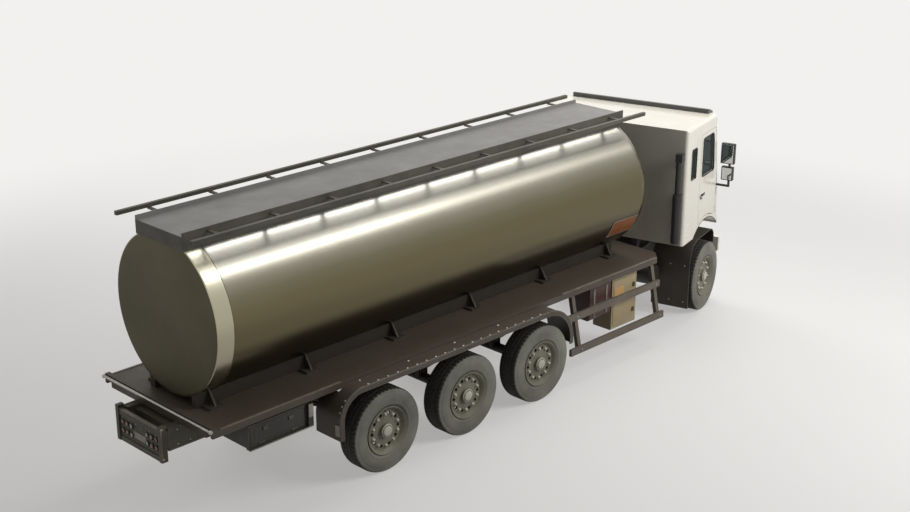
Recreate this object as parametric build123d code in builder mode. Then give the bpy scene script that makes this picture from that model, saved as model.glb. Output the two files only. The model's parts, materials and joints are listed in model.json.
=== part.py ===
from build123d import *
import os

os.makedirs("parts", exist_ok=True)

# ---- driving sizes (mm, degrees) -------------------------------------------
# Both units are drawn from the hitch: x forward, y to the left, z up from the ground.
rest_turn = 15.0  # the cab unit stands turned this far to the left
origin_x = -2710.0  # hitch to the middle of the whole vehicle's box
origin_y = 312.0

# wheels
wheel_radius = 520.0
tyre_width = 295.0
wheel_face_y = 1225.0
rim_radius = 283.0
rim_lip = 17.0
hub_radius = 120.0
hub_depth = 160.0
spindle_radius = 40.0
running_gap = 0.3
rear_axle_first_x = -2430.0
rear_axle_spacing = 1345.0
rear_axle_count = 3
hand_hole_radius = 23.0
hand_hole_count = 10
hand_hole_circle = 205.0

# chassis of the tank unit
frame_top_z = 1150.0
frame_depth = 270.0
frame_half_width = 430.0
rail_width = 100.0
frame_rear_x = -7600.0
frame_step_x = -760.0
neck_depth = 90.0
neck_half_width = 330.0
crossmember_width = 120.0

# deck
bearer_height = 60.0
bearer_width = 80.0
bearer_count = 14
deck_thickness = 45.0
deck_half_width = 1025.0
bearer_half_length = deck_half_width - 125.0
deck_lip_height = 80.0
deck_lip_width = 40.0
deck_rear_x = -7440.0
deck_front_x = 350.0
deck_corner = 160.0
rear_edge_height = 34.0
rear_edge_depth = 60.0

# tank
tank_radius = 935.0
tank_centre_z = 2250.0
tank_front_x = 0.0
tank_rear_x = -7240.0
tank_end_radius = tank_radius - 35.0
tank_rear_knuckle = 12.0
tank_front_knuckle = 100.0
seam_x = tank_rear_x + 220.0
seam_height = 6.0
seam_width = 24.0
cradle_outer_y = 0.47 * tank_radius
cradle_width = 90.0
saddle_count = 6
saddle_first_x = tank_rear_x + 190.0
saddle_spacing = 1360.0
saddle_length = 60.0
saddle_foot_length = 200.0
saddle_foot_height = 22.0
saddle_foot_reach = 150.0
seat_gap = 0.3

# walkway
walkway_half_width = 430.0
walkway_thickness = 60.0
walkway_rear_x = -7260.0
walkway_front_x = 50.0
toe_board_height = 45.0
toe_board_thickness = 10.0
rail_y = 700.0
rail_z = 3265.0
rail_size = 46.0
rail_rear_x = -7330.0
rail_front_x = 170.0
arm_count = 9
arm_thickness = 14.0
arm_width = 50.0

# rear wheel guards
guard_thickness = 14.0
guard_width = 207.0
guard_outer_y = deck_half_width + guard_width
guard_top_z = 1205.0
guard_rear_x = -5850.0
guard_front_x = -1830.0
guard_low_z = 640.0
guard_rear_radius = 350.0
guard_front_radius = 480.0
guard_lip = 60.0
guard_inner_y = 800.0
guard_inner_top_z = frame_top_z - 8.0

# lamp panel
lamp_panel_x = -7680.0
lamp_panel_low_z = 765.0
lamp_panel_top_z = 1190.0
lamp_panel_thickness = 26.0
lamp_post_width = 52.0
lamp_radius = 27.0
lamp_depth = 14.0
lamp_pitch = 85.0
lamp_low_z = 905.0
lamp_row_gap = 105.0
lamp_post_depth = 80.0
lamp_bar_height = 60.0
lamp_bar_depth = 50.0

# side guards
side_post_size = 60.0
side_post_rear_x = -1580.0
side_post_front_x = 175.0
side_post_top_y = deck_half_width - 65.0
side_post_low_y = deck_half_width + 105.0
side_rail_height = 95.0
side_rail_thickness = 40.0
side_rail_low_z = 440.0
side_rail_mid_z = 880.0
side_rail_rear_x = -1770.0
side_rail_front_x = 220.0

# boxes and tanks under the deck
tool_box_rear_x = -6970.0
tool_box_front_x = -6150.0
tool_box_low_z = 880.0
tool_box_outer_y = deck_half_width - 20.0
tool_box_gap = 75.0
tool_box_inner_y = frame_half_width + tool_box_gap
tool_ledge_reach = 36.0
tool_ledge_inset = 40.0
tool_ledge_thickness = 16.0
tool_bracket_width = 70.0
tool_bracket_thickness = 20.0
barrel_radius = 9.0
barrel_length = 90.0
barrel_clearance = 5.5
box_wall = 25.0
door_gap = 6.0
equipment_box_rear_x = -670.0
equipment_box_front_x = -140.0
equipment_box_low_z = 380.0
equipment_box_corner = 24.0
hose_box_rear_x = -1140.0
hose_box_front_x = -700.0
hose_box_low_z = 640.0
hose_box_corner = 50.0
under_box_outer_y = deck_half_width - 95.0
under_box_inner_y = under_box_outer_y - 320.0

# discharge pipes
discharge_first_x = -1300.0
discharge_spacing = 280.0
discharge_count = 3
discharge_valve_radius = 76.0
discharge_valve_height = 160.0
discharge_z = 1000.0
discharge_radius = 50.0
discharge_bore_radius = 40.0
discharge_bore_length = 120.0
discharge_flange_y = deck_half_width - 145.0
discharge_flange_radius = 92.0
discharge_flange_thickness = 16.0
discharge_hole_circle = 150.0
discharge_hole_count = 8
discharge_hole_radius = 9.0

# hitch
hitch_ring_radius = 320.0
hitch_ring_height = 65.0
pin_radius = 60.0
pin_length = 190.0
face_gap = 0.3

# chassis of the cab unit
front_frame_top_z = 975.0
front_frame_depth = 255.0
front_frame_half_width = 400.0
front_rail_width = 80.0
front_frame_rear_u = -420.0
front_frame_front_u = 1900.0
front_axle_u = 1430.0
kingpin_v = 960.0
kingpin_radius = 20.0
knuckle_ear = 60.0
beam_eye_height = 150.0
beam_eye_radius = 50.0
axle_beam_width = 80.0
web_thickness = 20.0
steer_arm_height = 25.0
tie_rod_back = 150.0
tie_rod_radius = 18.0

# cab
cab_rear_u = 470.0
cab_half_width = 1195.0
cab_wall = 60.0
cab_low_z = 1270.0
cab_roof_z = 2965.0
cab_floor_z = 1360.0
cab_nose_u = 1850.0
cab_nose_low_z = 1080.0
cab_brow_u = 1640.0
cab_sill_u = 1790.0
cab_sill_z = 1950.0
cab_edge = 45.0
cab_brow_drop = 60.0
cab_chin_drop = 500.0
cab_chin_depth = 130.0
arch_u = 1340.0
arch_z = 750.0
arch_radius = 700.0
arch_lip = 40.0
arch_inner_v = 700.0
door_rear_u = 1030.0
door_front_u = 1720.0
door_low_z = 1440.0
door_top_z = 2780.0
door_window_low_z = 2140.0
door_frame = 70.0
door_handle_length = 130.0
door_handle_rise = 28.0
door_handle_height = 30.0
door_barrel_radius = 13.0
door_barrel_length = 90.0
door_barrel_zs = (1500.0, 1760.0)
screen_low_z = 2090.0
screen_top_z = 2820.0
screen_half_width = cab_half_width - 135.0
screen_corner = 60.0
quarter_rear_u = 665.0
quarter_front_u = 845.0
quarter_low_z = 2200.0
quarter_top_z = 2640.0
glass_thickness = 8.0
glass_inset = 22.0

# front end
bumper_rear_u = 1972.0
bumper_front_u = 2040.0
bumper_low_z = 745.0
bumper_top_z = 965.0
bumper_inner_half_width = 690.0
bumper_skirt_z = 480.0
headlamp_width = 300.0
headlamp_height = 130.0
engine_rear_u = 760.0
engine_front_u = 1670.0
engine_low_z = 660.0
engine_top_z = 1120.0
fender_thickness = 12.0
fender_top_z = 1180.0
fender_front_u = 1815.0
fender_front_low_z = 940.0
fender_rear_radius = 260.0
fender_front_radius = 150.0
flap_u = 806.0
flap_low_z = 200.0
flap_inner_v = 620.0
flap_bar_size = 40.0
air_tank_radius = 150.0
air_tank_u = 600.0
air_tank_outer_v = 760.0
air_tank_z = 720.0
air_tank_edge = 25.0
mirror_reach = 245.0
mirror_arm_size = 28.0
mirror_arm_u = 1730.0
mirror_low_z = 1850.0
mirror_top_z = 2500.0
mirror_depth = 70.0
mirror_width = 200.0
mirror_main_height = 300.0
mirror_lower_height = 200.0
mirror_split = 50.0

# intake pipe
intake_u = 400.0
intake_v = 95.0 - cab_half_width
intake_thick_radius = 62.0
intake_thin_radius = 38.0
intake_low_z = 1330.0
intake_neck_z = 2050.0
intake_top_z = 2610.0
intake_head_height = 110.0
intake_bracket_height = 30.0
tow_eye_radius = 20.0
tow_eye_height = 60.0
tow_eye_low_z = 560.0
tow_eye_reach = 42.0

tank_unit = Location((-origin_x, -origin_y, 0))
front_unit = Location((-origin_x, -origin_y, 0), (0, 0, rest_turn))
sides = (("right", -1), ("left", 1))

frame_low_z = frame_top_z - frame_depth
deck_top_z = frame_top_z + bearer_height + deck_thickness
deck_low_z = deck_top_z - deck_thickness
front_frame_low_z = front_frame_top_z - front_frame_depth
rear_axle_xs = [rear_axle_first_x - i * rear_axle_spacing for i in range(rear_axle_count)]
tyre_inner_y = wheel_face_y - tyre_width


def save(builder, label, unit):
    """Label a finished piece and write it as its own file, set in its unit's place."""
    builder.part.label = label
    export_step(builder.part.moved(unit), f"parts/{label}.step")


def block(x0, x1, y0, y1, z0, z1):
    """A box between two corners, inside the current part."""
    with Locations(((x0 + x1) / 2, (y0 + y1) / 2, (z0 + z1) / 2)):
        Box(abs(x1 - x0), abs(y1 - y0), abs(z1 - z0))


# ---- tank: knuckled at both ends, with a raised seam near the rear -----------
tank_axis = Axis((0, 0, tank_centre_z), (1, 0, 0))
tank_top_z = tank_centre_z + tank_radius
with BuildPart() as tank:
    with BuildSketch(Plane.XZ) as tank_profile:
        with BuildLine():
            Polyline(
                (tank_rear_x, tank_centre_z),
                (tank_rear_x, tank_centre_z + tank_end_radius),
                (tank_rear_x + tank_rear_knuckle, tank_top_z),
                (seam_x, tank_top_z),
                (seam_x, tank_top_z + seam_height),
                (seam_x + seam_width, tank_top_z + seam_height),
                (seam_x + seam_width, tank_top_z),
                (tank_front_x - tank_front_knuckle, tank_top_z),
                (tank_front_x, tank_centre_z + tank_end_radius),
                (tank_front_x, tank_centre_z),
                close=True,
            )
        make_face()
    revolve(axis=tank_axis)
save(tank, "tank", tank_unit)



def cut_tank_round(from_x, to_x):
    """Take the tank's round, and the seam's, out of the current part, a small gap away."""
    for radius, start_x, end_x in (
        (tank_radius, from_x, to_x),
        (tank_radius + seam_height, seam_x - seat_gap, seam_x + seam_width + seat_gap),
    ):
        with Locations(Location(((start_x + end_x) / 2, 0, tank_centre_z), (0, 90, 0))):
            Cylinder(radius + seat_gap, end_x - start_x, mode=Mode.SUBTRACT)


# ---- cradle: two long bearers and cross webs, cut to the tank's round --------
saddle_xs = [saddle_first_x + i * saddle_spacing for i in range(saddle_count)]
saddle_top_z = tank_centre_z - 0.8 * tank_radius
with BuildPart() as saddles:
    for name, side in sides:
        block(
            tank_rear_x + 2 * tank_rear_knuckle,
            tank_front_x - tank_front_knuckle,
            side * (cradle_outer_y - cradle_width),
            side * cradle_outer_y,
            deck_top_z,
            saddle_top_z,
        )
        for x in saddle_xs:
            block(
                x - saddle_foot_length / 2,
                x + saddle_foot_length / 2,
                side * cradle_outer_y,
                side * (cradle_outer_y + saddle_foot_reach),
                deck_top_z,
                deck_top_z + saddle_foot_height,
            )
            # gusset from the foot up to the bearer
            with BuildSketch(Plane.YZ.offset(x - seam_width / 2)):
                with BuildLine():
                    Polyline(
                        (side * cradle_outer_y, deck_top_z + saddle_foot_height),
                        (side * (cradle_outer_y + 0.8 * saddle_foot_reach), deck_top_z + saddle_foot_height),
                        (side * cradle_outer_y, saddle_top_z - 2 * saddle_foot_height),
                        close=True,
                    )
                make_face()
            extrude(amount=seam_width)
    for x in saddle_xs:
        block(
            x - saddle_length / 2,
            x + saddle_length / 2,
            -cradle_outer_y + cradle_width,
            cradle_outer_y - cradle_width,
            deck_top_z,
            saddle_top_z,
        )
    cut_tank_round(tank_rear_x, tank_front_x)
save(saddles, "tank_saddles", tank_unit)

# ---- walkway plate, flat on top and fitted to the tank below -----------------
walkway_top_z = tank_top_z + walkway_thickness
with BuildPart() as walkway:
    block(
        walkway_rear_x,
        walkway_front_x,
        -walkway_half_width,
        walkway_half_width,
        walkway_top_z - 0.2 * tank_radius,
        walkway_top_z,
    )
    for name, side in sides:
        block(
            walkway_rear_x,
            walkway_front_x,
            side * (walkway_half_width - toe_board_thickness),
            side * walkway_half_width,
            walkway_top_z,
            walkway_top_z + toe_board_height,
        )
    cut_tank_round(walkway_rear_x - 1, walkway_front_x + 1)
save(walkway, "walkway", tank_unit)

# ---- walkway side rails on outrigger arms ------------------------------------
arm_gap = (rail_front_x - rail_rear_x) / arm_count
arm_xs = [rail_rear_x + arm_gap * (i + 0.5) for i in range(arm_count)]
with BuildPart() as walkway_rails:
    for name, side in sides:
        block(
            rail_rear_x,
            rail_front_x,
            side * (rail_y - rail_size / 2),
            side * (rail_y + rail_size / 2),
            rail_z - rail_size / 2,
            rail_z + rail_size / 2,
        )
        for x in arm_xs:
            block(
                x - arm_width / 2,
                x + arm_width / 2,
                side * walkway_half_width,
                side * (rail_y - rail_size / 2),
                walkway_top_z - arm_thickness,
                walkway_top_z,
            )
            block(
                x - arm_width / 2,
                x + arm_width / 2,
                side * (rail_y - rail_size / 2 - arm_thickness),
                side * (rail_y - rail_size / 2),
                walkway_top_z - arm_thickness,
                rail_z,
            )
save(walkway_rails, "walkway_rails", tank_unit)

discharge_xs = [discharge_first_x + i * discharge_spacing for i in range(discharge_count)]

# ---- chassis of the tank unit: ladder frame with a raised neck ---------------
cross_xs = [frame_rear_x + 150, frame_rear_x + 1150, frame_step_x - crossmember_width / 2]
cross_xs += [rear_axle_first_x + (0.5 - i) * rear_axle_spacing for i in range(rear_axle_count + 1)]
with BuildPart() as tank_frame:
    for name, side in sides:
        block(
            frame_rear_x,
            frame_step_x,
            side * (frame_half_width - rail_width),
            side * frame_half_width,
            frame_low_z,
            frame_top_z,
        )
    for x in cross_xs:
        block(
            x - crossmember_width / 2,
            x + crossmember_width / 2,
            -frame_half_width + rail_width,
            frame_half_width - rail_width,
            frame_low_z + 40,
            frame_top_z - 40,
        )
    block(
        frame_step_x - 400,
        0,
        -neck_half_width,
        neck_half_width,
        frame_top_z - neck_depth,
        frame_top_z,
    )
    with Locations((0, 0, frame_top_z - neck_depth / 2)):
        Cylinder(neck_half_width, neck_depth)
save(tank_frame, "tank_frame", tank_unit)

# ---- deck: plate, edge lips, bearers -----------------------------------------
bearer_pitch = (deck_front_x - deck_corner - deck_rear_x - bearer_width) / (bearer_count - 1)
bearer_xs = [deck_rear_x + bearer_width / 2 + i * bearer_pitch for i in range(bearer_count)]
with BuildPart() as deck:
    with BuildSketch(Plane.XY.offset(deck_low_z)) as deck_outline:
        with BuildLine():
            Polyline(
                (deck_rear_x, -deck_half_width),
                (deck_front_x - deck_corner, -deck_half_width),
                (deck_front_x, -deck_half_width + deck_corner),
                (deck_front_x, deck_half_width - deck_corner),
                (deck_front_x - deck_corner, deck_half_width),
                (deck_rear_x, deck_half_width),
                close=True,
            )
        make_face()
    extrude(amount=deck_thickness)
    for name, side in sides:
        block(
            deck_rear_x,
            deck_front_x - deck_corner,
            side * (deck_half_width - deck_lip_width),
            side * deck_half_width,
            deck_top_z - deck_lip_height,
            deck_low_z,
        )
    for x in bearer_xs:
        block(
            x - bearer_width / 2,
            x + bearer_width / 2,
            -bearer_half_length,
            bearer_half_length,
            frame_top_z,
            deck_low_z,
        )
    block(
        deck_rear_x,
        deck_rear_x + rear_edge_depth,
        -deck_half_width,
        deck_half_width,
        deck_top_z,
        deck_top_z + rear_edge_height,
    )
save(deck, "deck", tank_unit)

# ---- rear wheel guards: one long hood over the three wheels a side ------------
def guard_view(rear, front, low, top, rear_turn, front_turn, inset):
    """A guard's side view with rounded upper corners, drawn in by the inset at top and ends."""
    rear_centre = (rear + rear_turn, top - rear_turn)
    front_centre = (front - front_turn, top - front_turn)
    with BuildSketch() as view:
        with BuildLine():
            Line((rear + inset, low), (rear + inset, top - rear_turn))
            CenterArc(rear_centre, rear_turn - inset, 90, 90)
            Line((rear + rear_turn, top - inset), (front - front_turn, top - inset))
            CenterArc(front_centre, front_turn - inset, 0, 90)
            Polyline((front - inset, top - front_turn), (front - inset, low), (rear + inset, low))
        make_face()
    return view.sketch


hood_edge = (guard_rear_x, guard_front_x, guard_low_z, guard_top_z, guard_rear_radius, guard_front_radius)
hood_full = guard_view(*hood_edge, 0)
hood_hollow = guard_view(*hood_edge, guard_thickness)
hood_lip_hollow = guard_view(*hood_edge, guard_lip)
with BuildPart() as wheel_guards:
    # strip outside the deck's edge
    with BuildSketch(Plane.XZ.offset(deck_half_width)):
        add(hood_full)
        add(hood_hollow, mode=Mode.SUBTRACT)
    extrude(amount=guard_outer_y - deck_half_width)
    # flange down along the outer edge
    with BuildSketch(Plane.XZ.offset(guard_outer_y - guard_thickness)):
        add(hood_full)
        add(hood_lip_hollow, mode=Mode.SUBTRACT)
    extrude(amount=guard_thickness)
    # end plates carried on inwards under the deck, as wide as the tyres
    with BuildSketch(Plane.XZ.offset(guard_inner_y)):
        add(hood_full)
        add(hood_hollow, mode=Mode.SUBTRACT)
        with Locations(((guard_rear_x + guard_front_x) / 2, guard_inner_top_z)):
            Rectangle(
                guard_front_x - guard_rear_x,
                guard_top_z - guard_inner_top_z + 1,
                align=(Align.CENTER, Align.MIN),
                mode=Mode.SUBTRACT,
            )
    extrude(amount=deck_half_width - guard_inner_y)
    mirror(about=Plane.XZ)
save(wheel_guards, "wheel_guards", tank_unit)

# ---- lamp panel at the rear end, with a post at each end ----------------------
with BuildPart() as lamp_panel:
    block(
        lamp_panel_x,
        lamp_panel_x + lamp_panel_thickness,
        -frame_half_width,
        frame_half_width,
        lamp_panel_low_z + 0.6 * lamp_bar_height,
        lamp_panel_top_z - lamp_bar_height,
    )
    for name, side in sides:
        block(
            lamp_panel_x - lamp_post_depth / 4,
            lamp_panel_x + 0.75 * lamp_post_depth,
            side * (frame_half_width - lamp_post_width),
            side * frame_half_width,
            lamp_panel_low_z,
            lamp_panel_top_z,
        )
        block(
            lamp_panel_x + 0.75 * lamp_post_depth,
            frame_rear_x,
            side * (frame_half_width - rail_width),
            side * frame_half_width,
            frame_low_z + 30,
            frame_top_z - 30,
        )
    for z in (lamp_panel_low_z, lamp_panel_top_z - 1.7 * lamp_bar_height):
        block(
            lamp_panel_x - 0.2 * lamp_bar_depth,
            lamp_panel_x + 0.8 * lamp_bar_depth,
            -frame_half_width,
            frame_half_width,
            z,
            z + lamp_bar_height,
        )
save(lamp_panel, "lamp_panel", tank_unit)

# ---- tail lamps: round lenses on the panel ------------------------------------
lamp_first_y = frame_half_width - lamp_post_width - lamp_pitch * 0.7
lamp_spots = [
    (side * (lamp_first_y - column * lamp_pitch), lamp_low_z + row * lamp_row_gap)
    for _, side in sides
    for column in range(3)
    for row in range(2)
]
with BuildPart() as tail_lamps:
    with BuildSketch(Plane.YZ.offset(lamp_panel_x - lamp_depth)):
        with Locations(lamp_spots):
            Circle(lamp_radius)
    extrude(amount=lamp_depth)
save(tail_lamps, "tail_lamps", tank_unit)

# ---- side guards: two leaning posts and two rails a side ----------------------
with BuildPart() as side_guards:
    for post_x in (side_post_rear_x, side_post_front_x - side_post_size):
        with BuildSketch(Plane.YZ.offset(post_x)):
            with BuildLine():
                Polyline(
                    (-side_post_top_y + side_post_size, frame_top_z + bearer_height),
                    (-side_post_top_y, frame_top_z + bearer_height),
                    (-side_post_low_y, side_rail_low_z - side_rail_height / 2),
                    (-side_post_low_y + side_post_size, side_rail_low_z - side_rail_height / 2),
                    close=True,
                )
            make_face()
        extrude(amount=side_post_size)
    for z in (side_rail_low_z, side_rail_mid_z):
        lean = (side_post_low_y - side_post_top_y) / (deck_low_z - side_rail_low_z + side_rail_height / 2)
        face_y = side_post_low_y - lean * (z - side_rail_low_z)
        with BuildSketch(Plane.YZ.offset(side_rail_rear_x)):
            with Locations((-face_y - side_rail_thickness / 4, z)):
                Rectangle(side_rail_thickness, side_rail_height)
        extrude(amount=side_rail_front_x - side_rail_rear_x)
    mirror(about=Plane.XZ)
save(side_guards, "side_guards", tank_unit)

# ---- tool boxes behind the rear wheels, each with its own door ----------------
box_top_z = frame_top_z
tool_barrel_reach = (tool_box_front_x - tool_box_rear_x) / 2 - 2 * barrel_length
tool_barrel_places = [
    Location(
        (
            (tool_box_rear_x + tool_box_front_x) / 2 + step * tool_barrel_reach,
            -tool_box_outer_y,
            tool_box_low_z + box_wall + face_gap,
        ),
        (0, 90, 0),
    )
    for step in (-1, 1)
]
with BuildPart() as tool_boxes:
    block(
        tool_box_rear_x,
        tool_box_front_x,
        -tool_box_outer_y,
        -tool_box_inner_y,
        tool_box_low_z,
        box_top_z,
    )
    with Locations(
        (
            (tool_box_rear_x + tool_box_front_x) / 2,
            -(tool_box_outer_y + tool_box_inner_y) / 2 - box_wall,
            (tool_box_low_z + box_top_z) / 2,
        )
    ):
        Box(
            tool_box_front_x - tool_box_rear_x - 2 * box_wall,
            tool_box_outer_y - tool_box_inner_y,
            box_top_z - tool_box_low_z - 2 * box_wall,
            mode=Mode.SUBTRACT,
        )
    # ledge along the lower edge and a hanger at the front end
    block(
        tool_box_rear_x,
        tool_box_front_x + tool_bracket_width,
        -tool_box_outer_y - tool_ledge_reach,
        -tool_box_outer_y + tool_ledge_inset,
        tool_box_low_z - tool_ledge_thickness,
        tool_box_low_z,
    )
    block(
        tool_box_front_x,
        tool_box_front_x + tool_bracket_width,
        -tool_box_outer_y - tool_ledge_reach,
        -tool_box_outer_y - tool_ledge_reach + tool_bracket_thickness,
        tool_box_low_z,
        box_top_z,
    )
    block(
        tool_box_front_x,
        tool_box_front_x + tool_bracket_thickness,
        -tool_box_outer_y - tool_ledge_reach + tool_bracket_thickness,
        -tool_box_inner_y,
        tool_box_low_z,
        box_top_z,
    )
    with Locations(tool_barrel_places):
        Cylinder(barrel_radius + barrel_clearance, barrel_length + 2 * barrel_clearance, mode=Mode.SUBTRACT)
    mirror(about=Plane.XZ)
save(tool_boxes, "tool_boxes", tank_unit)
with BuildPart() as tool_door_right:
    block(
        tool_box_rear_x + box_wall + door_gap,
        tool_box_front_x - box_wall - door_gap,
        -tool_box_outer_y,
        -tool_box_outer_y + box_wall,
        tool_box_low_z + box_wall + face_gap,
        box_top_z - box_wall - door_gap,
    )
    with Locations(tool_barrel_places):
        Cylinder(barrel_radius, barrel_length)
save(tool_door_right, "tool_door_right", tank_unit)
with BuildPart() as tool_door_left:
    add(mirror(tool_door_right.part, about=Plane.XZ, mode=Mode.PRIVATE))
save(tool_door_left, "tool_door_left", tank_unit)

# ---- boxes hung under the front of the deck, on the right ---------------------
with BuildPart() as equipment_box:
    block(
        equipment_box_rear_x,
        equipment_box_front_x,
        -under_box_outer_y,
        -under_box_inner_y,
        equipment_box_low_z,
        frame_top_z,
    )
    fillet(equipment_box.edges().filter_by(Axis.X), equipment_box_corner)
save(equipment_box, "equipment_box", tank_unit)
with BuildPart() as hose_box:
    block(
        hose_box_rear_x,
        hose_box_front_x,
        -under_box_outer_y,
        -under_box_inner_y,
        hose_box_low_z,
        frame_top_z,
    )
    fillet(hose_box.edges().filter_by(Axis.X), hose_box_corner)
save(hose_box, "hose_box", tank_unit)

# ---- discharge pipes on the left, each with a valve and a bolted flange -------
with BuildPart() as discharge_pipes:
    for x in discharge_xs:
        with Locations(Location((x, frame_half_width, discharge_z), (-90, 0, 0))):
            Cylinder(
                discharge_radius,
                discharge_flange_y - frame_half_width,
                align=(Align.CENTER, Align.CENTER, Align.MIN),
            )
        with Locations((x, (frame_half_width + discharge_flange_y) / 2, discharge_z)):
            Cylinder(discharge_valve_radius, discharge_valve_height)
        with Locations(Location((x, discharge_flange_y, discharge_z), (-90, 0, 0))):
            Cylinder(
                discharge_flange_radius,
                discharge_flange_thickness,
                align=(Align.CENTER, Align.CENTER, Align.MAX),
            )
        with BuildSketch(Plane((x, discharge_flange_y, discharge_z), x_dir=(1, 0, 0), z_dir=(0, 1, 0))):
            Circle(discharge_bore_radius)
            with PolarLocations(discharge_hole_circle / 2, discharge_hole_count, start_angle=22.5):
                Circle(discharge_hole_radius)
        extrude(amount=-discharge_flange_thickness - 0.5, mode=Mode.SUBTRACT)
        with BuildSketch(Plane((x, discharge_flange_y, discharge_z), x_dir=(1, 0, 0), z_dir=(0, 1, 0))):
            Circle(discharge_bore_radius)
        extrude(amount=-discharge_bore_length, mode=Mode.SUBTRACT)
save(discharge_pipes, "discharge_pipes", tank_unit)

# ---- hitch: pin plate under the neck, ring on the cab unit --------------------
neck_low_z = frame_top_z - neck_depth
ring_top_z = front_frame_top_z + hitch_ring_height
with BuildPart() as hitch_pin:
    with Locations((0, 0, ring_top_z + face_gap)):
        Cylinder(
            0.8 * hitch_ring_radius,
            neck_low_z - ring_top_z - face_gap,
            align=(Align.CENTER, Align.CENTER, Align.MIN),
        )
        Cylinder(pin_radius, pin_length, align=(Align.CENTER, Align.CENTER, Align.MAX))
save(hitch_pin, "hitch_pin", tank_unit)
with BuildPart() as hitch_ring:
    with Locations((0, 0, front_frame_top_z)):
        Cylinder(
            hitch_ring_radius,
            hitch_ring_height,
            align=(Align.CENTER, Align.CENTER, Align.MIN),
        )
        Cylinder(pin_radius + running_gap, 3 * hitch_ring_height, mode=Mode.SUBTRACT)
save(hitch_ring, "hitch_ring", front_unit)

# ---- rear axles with their spindles -------------------------------------------
beam_radius = 62.0
beam_end_y = tyre_inner_y + 30
spindle_end = wheel_face_y - 50
drum_radius = 195.0
drum_depth = 140.0
drum_y = wheel_face_y - hub_depth - 10
with BuildPart() as rear_axles:
    for x in rear_axle_xs:
        with Locations(Location((x, 0, wheel_radius), (90, 0, 0))):
            Cylinder(beam_radius, 2 * beam_end_y)
            Cylinder(spindle_radius, 2 * spindle_end)
        for name, side in sides:
            with Locations(Location((x, side * (drum_y - drum_depth / 2), wheel_radius), (90, 0, 0))):
                Cylinder(drum_radius, drum_depth)
save(rear_axles, "rear_axles", tank_unit)


hanger_length = 60.0
hanger_height = 95.0
hanger_drop = hanger_height - 5.0
clamp_length = 150.0


def leaf_spring(x, half_length, y, seat_z, hang_z, width, depth):
    """A leaf spring pack: an arched bar over the axle, on a clamp, hung at both ends."""
    end_z = hang_z - hanger_drop
    with BuildSketch(Plane.XZ.offset(-y - width / 2)) as leaves:
        with BuildLine():
            arch = ThreePointArc((x - half_length, end_z), (x, seat_z), (x + half_length, end_z))
            Line(arch @ 1, (x + half_length, end_z + depth / 2))
            back = ThreePointArc(
                (x + half_length, end_z + depth / 2),
                (x, seat_z + depth),
                (x - half_length, end_z + depth / 2),
            )
            Line(back @ 1, arch @ 0)
        make_face()
        hanger_reach = half_length - hanger_length / 2
        with Locations((x - hanger_reach, hang_z), (x + hanger_reach, hang_z)):
            Rectangle(hanger_length, hanger_height, align=(Align.CENTER, Align.MAX))
        with Locations((x, seat_z)):
            Rectangle(clamp_length, seat_z - wheel_radius, align=(Align.CENTER, Align.MAX))
    extrude(leaves.sketch, amount=width)


spring_y = frame_half_width - rail_width / 2
# columns: half length, seat above the axle, leaf width, leaf depth
rear_spring_size = (560.0, 100.0, 76.0, 60.0)
front_spring_size = (460.0, beam_eye_height / 2, 66.0, 36.0)
with BuildPart() as rear_springs:
    for x in rear_axle_xs:
        for name, side in sides:
            half_length, seat, width, depth = rear_spring_size
            leaf_spring(x, half_length, side * spring_y, wheel_radius + seat, frame_low_z, width, depth)
    with BuildSketch(Plane.XZ.offset(-wheel_face_y)):
        with Locations([(x, wheel_radius) for x in rear_axle_xs]):
            Circle(beam_radius)
    extrude(amount=2 * wheel_face_y, mode=Mode.SUBTRACT)
save(rear_springs, "rear_springs", tank_unit)


# ---- wheels: rim with hub, disc and hand holes, and tyre ----------------------
def wheel_plane(x, side):
    """Across the wheel: x outwards from its axis, y from the outer face inwards."""
    return Plane(
        origin=(x, side * wheel_face_y, wheel_radius), x_dir=(1, 0, 0), z_dir=(0, 0, -side)
    )


def make_rim(plane):
    """Rim barrel, dished disc with hand holes, hub and cap, bored for the spindle."""
    axis = Axis(plane.origin, plane.y_dir)
    inner = tyre_width - 22
    lip = rim_radius + rim_lip
    with BuildPart() as rim:
        with BuildSketch(plane):
            with BuildLine():
                Polyline(
                    (0, 8),
                    (70, 8),
                    (86, 24),
                    (86, 54),
                    (150, 58),
                    (252, 60),
                    (270, 32),
                    (lip - 8, 12),
                    (lip, 16),
                    (lip, 26),
                    (rim_radius, 30),
                    (rim_radius, inner - 8),
                    (lip, inner - 4),
                    (lip, inner + 6),
                    (rim_radius - 13, inner + 6),
                    (rim_radius - 13, 92),
                    (250, 76),
                    (150, 74),
                    (hub_radius, 90),
                    (hub_radius, hub_depth),
                    (spindle_radius + running_gap, hub_depth),
                    (spindle_radius + running_gap, 45),
                    (0, 45),
                    close=True,
                )
            make_face()
        revolve(axis=axis)
        with BuildSketch(Plane(plane.origin, x_dir=plane.x_dir, z_dir=plane.y_dir)):
            with PolarLocations(hand_hole_circle, hand_hole_count):
                Circle(hand_hole_radius)
        extrude(amount=140, mode=Mode.SUBTRACT)
    return rim


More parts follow.
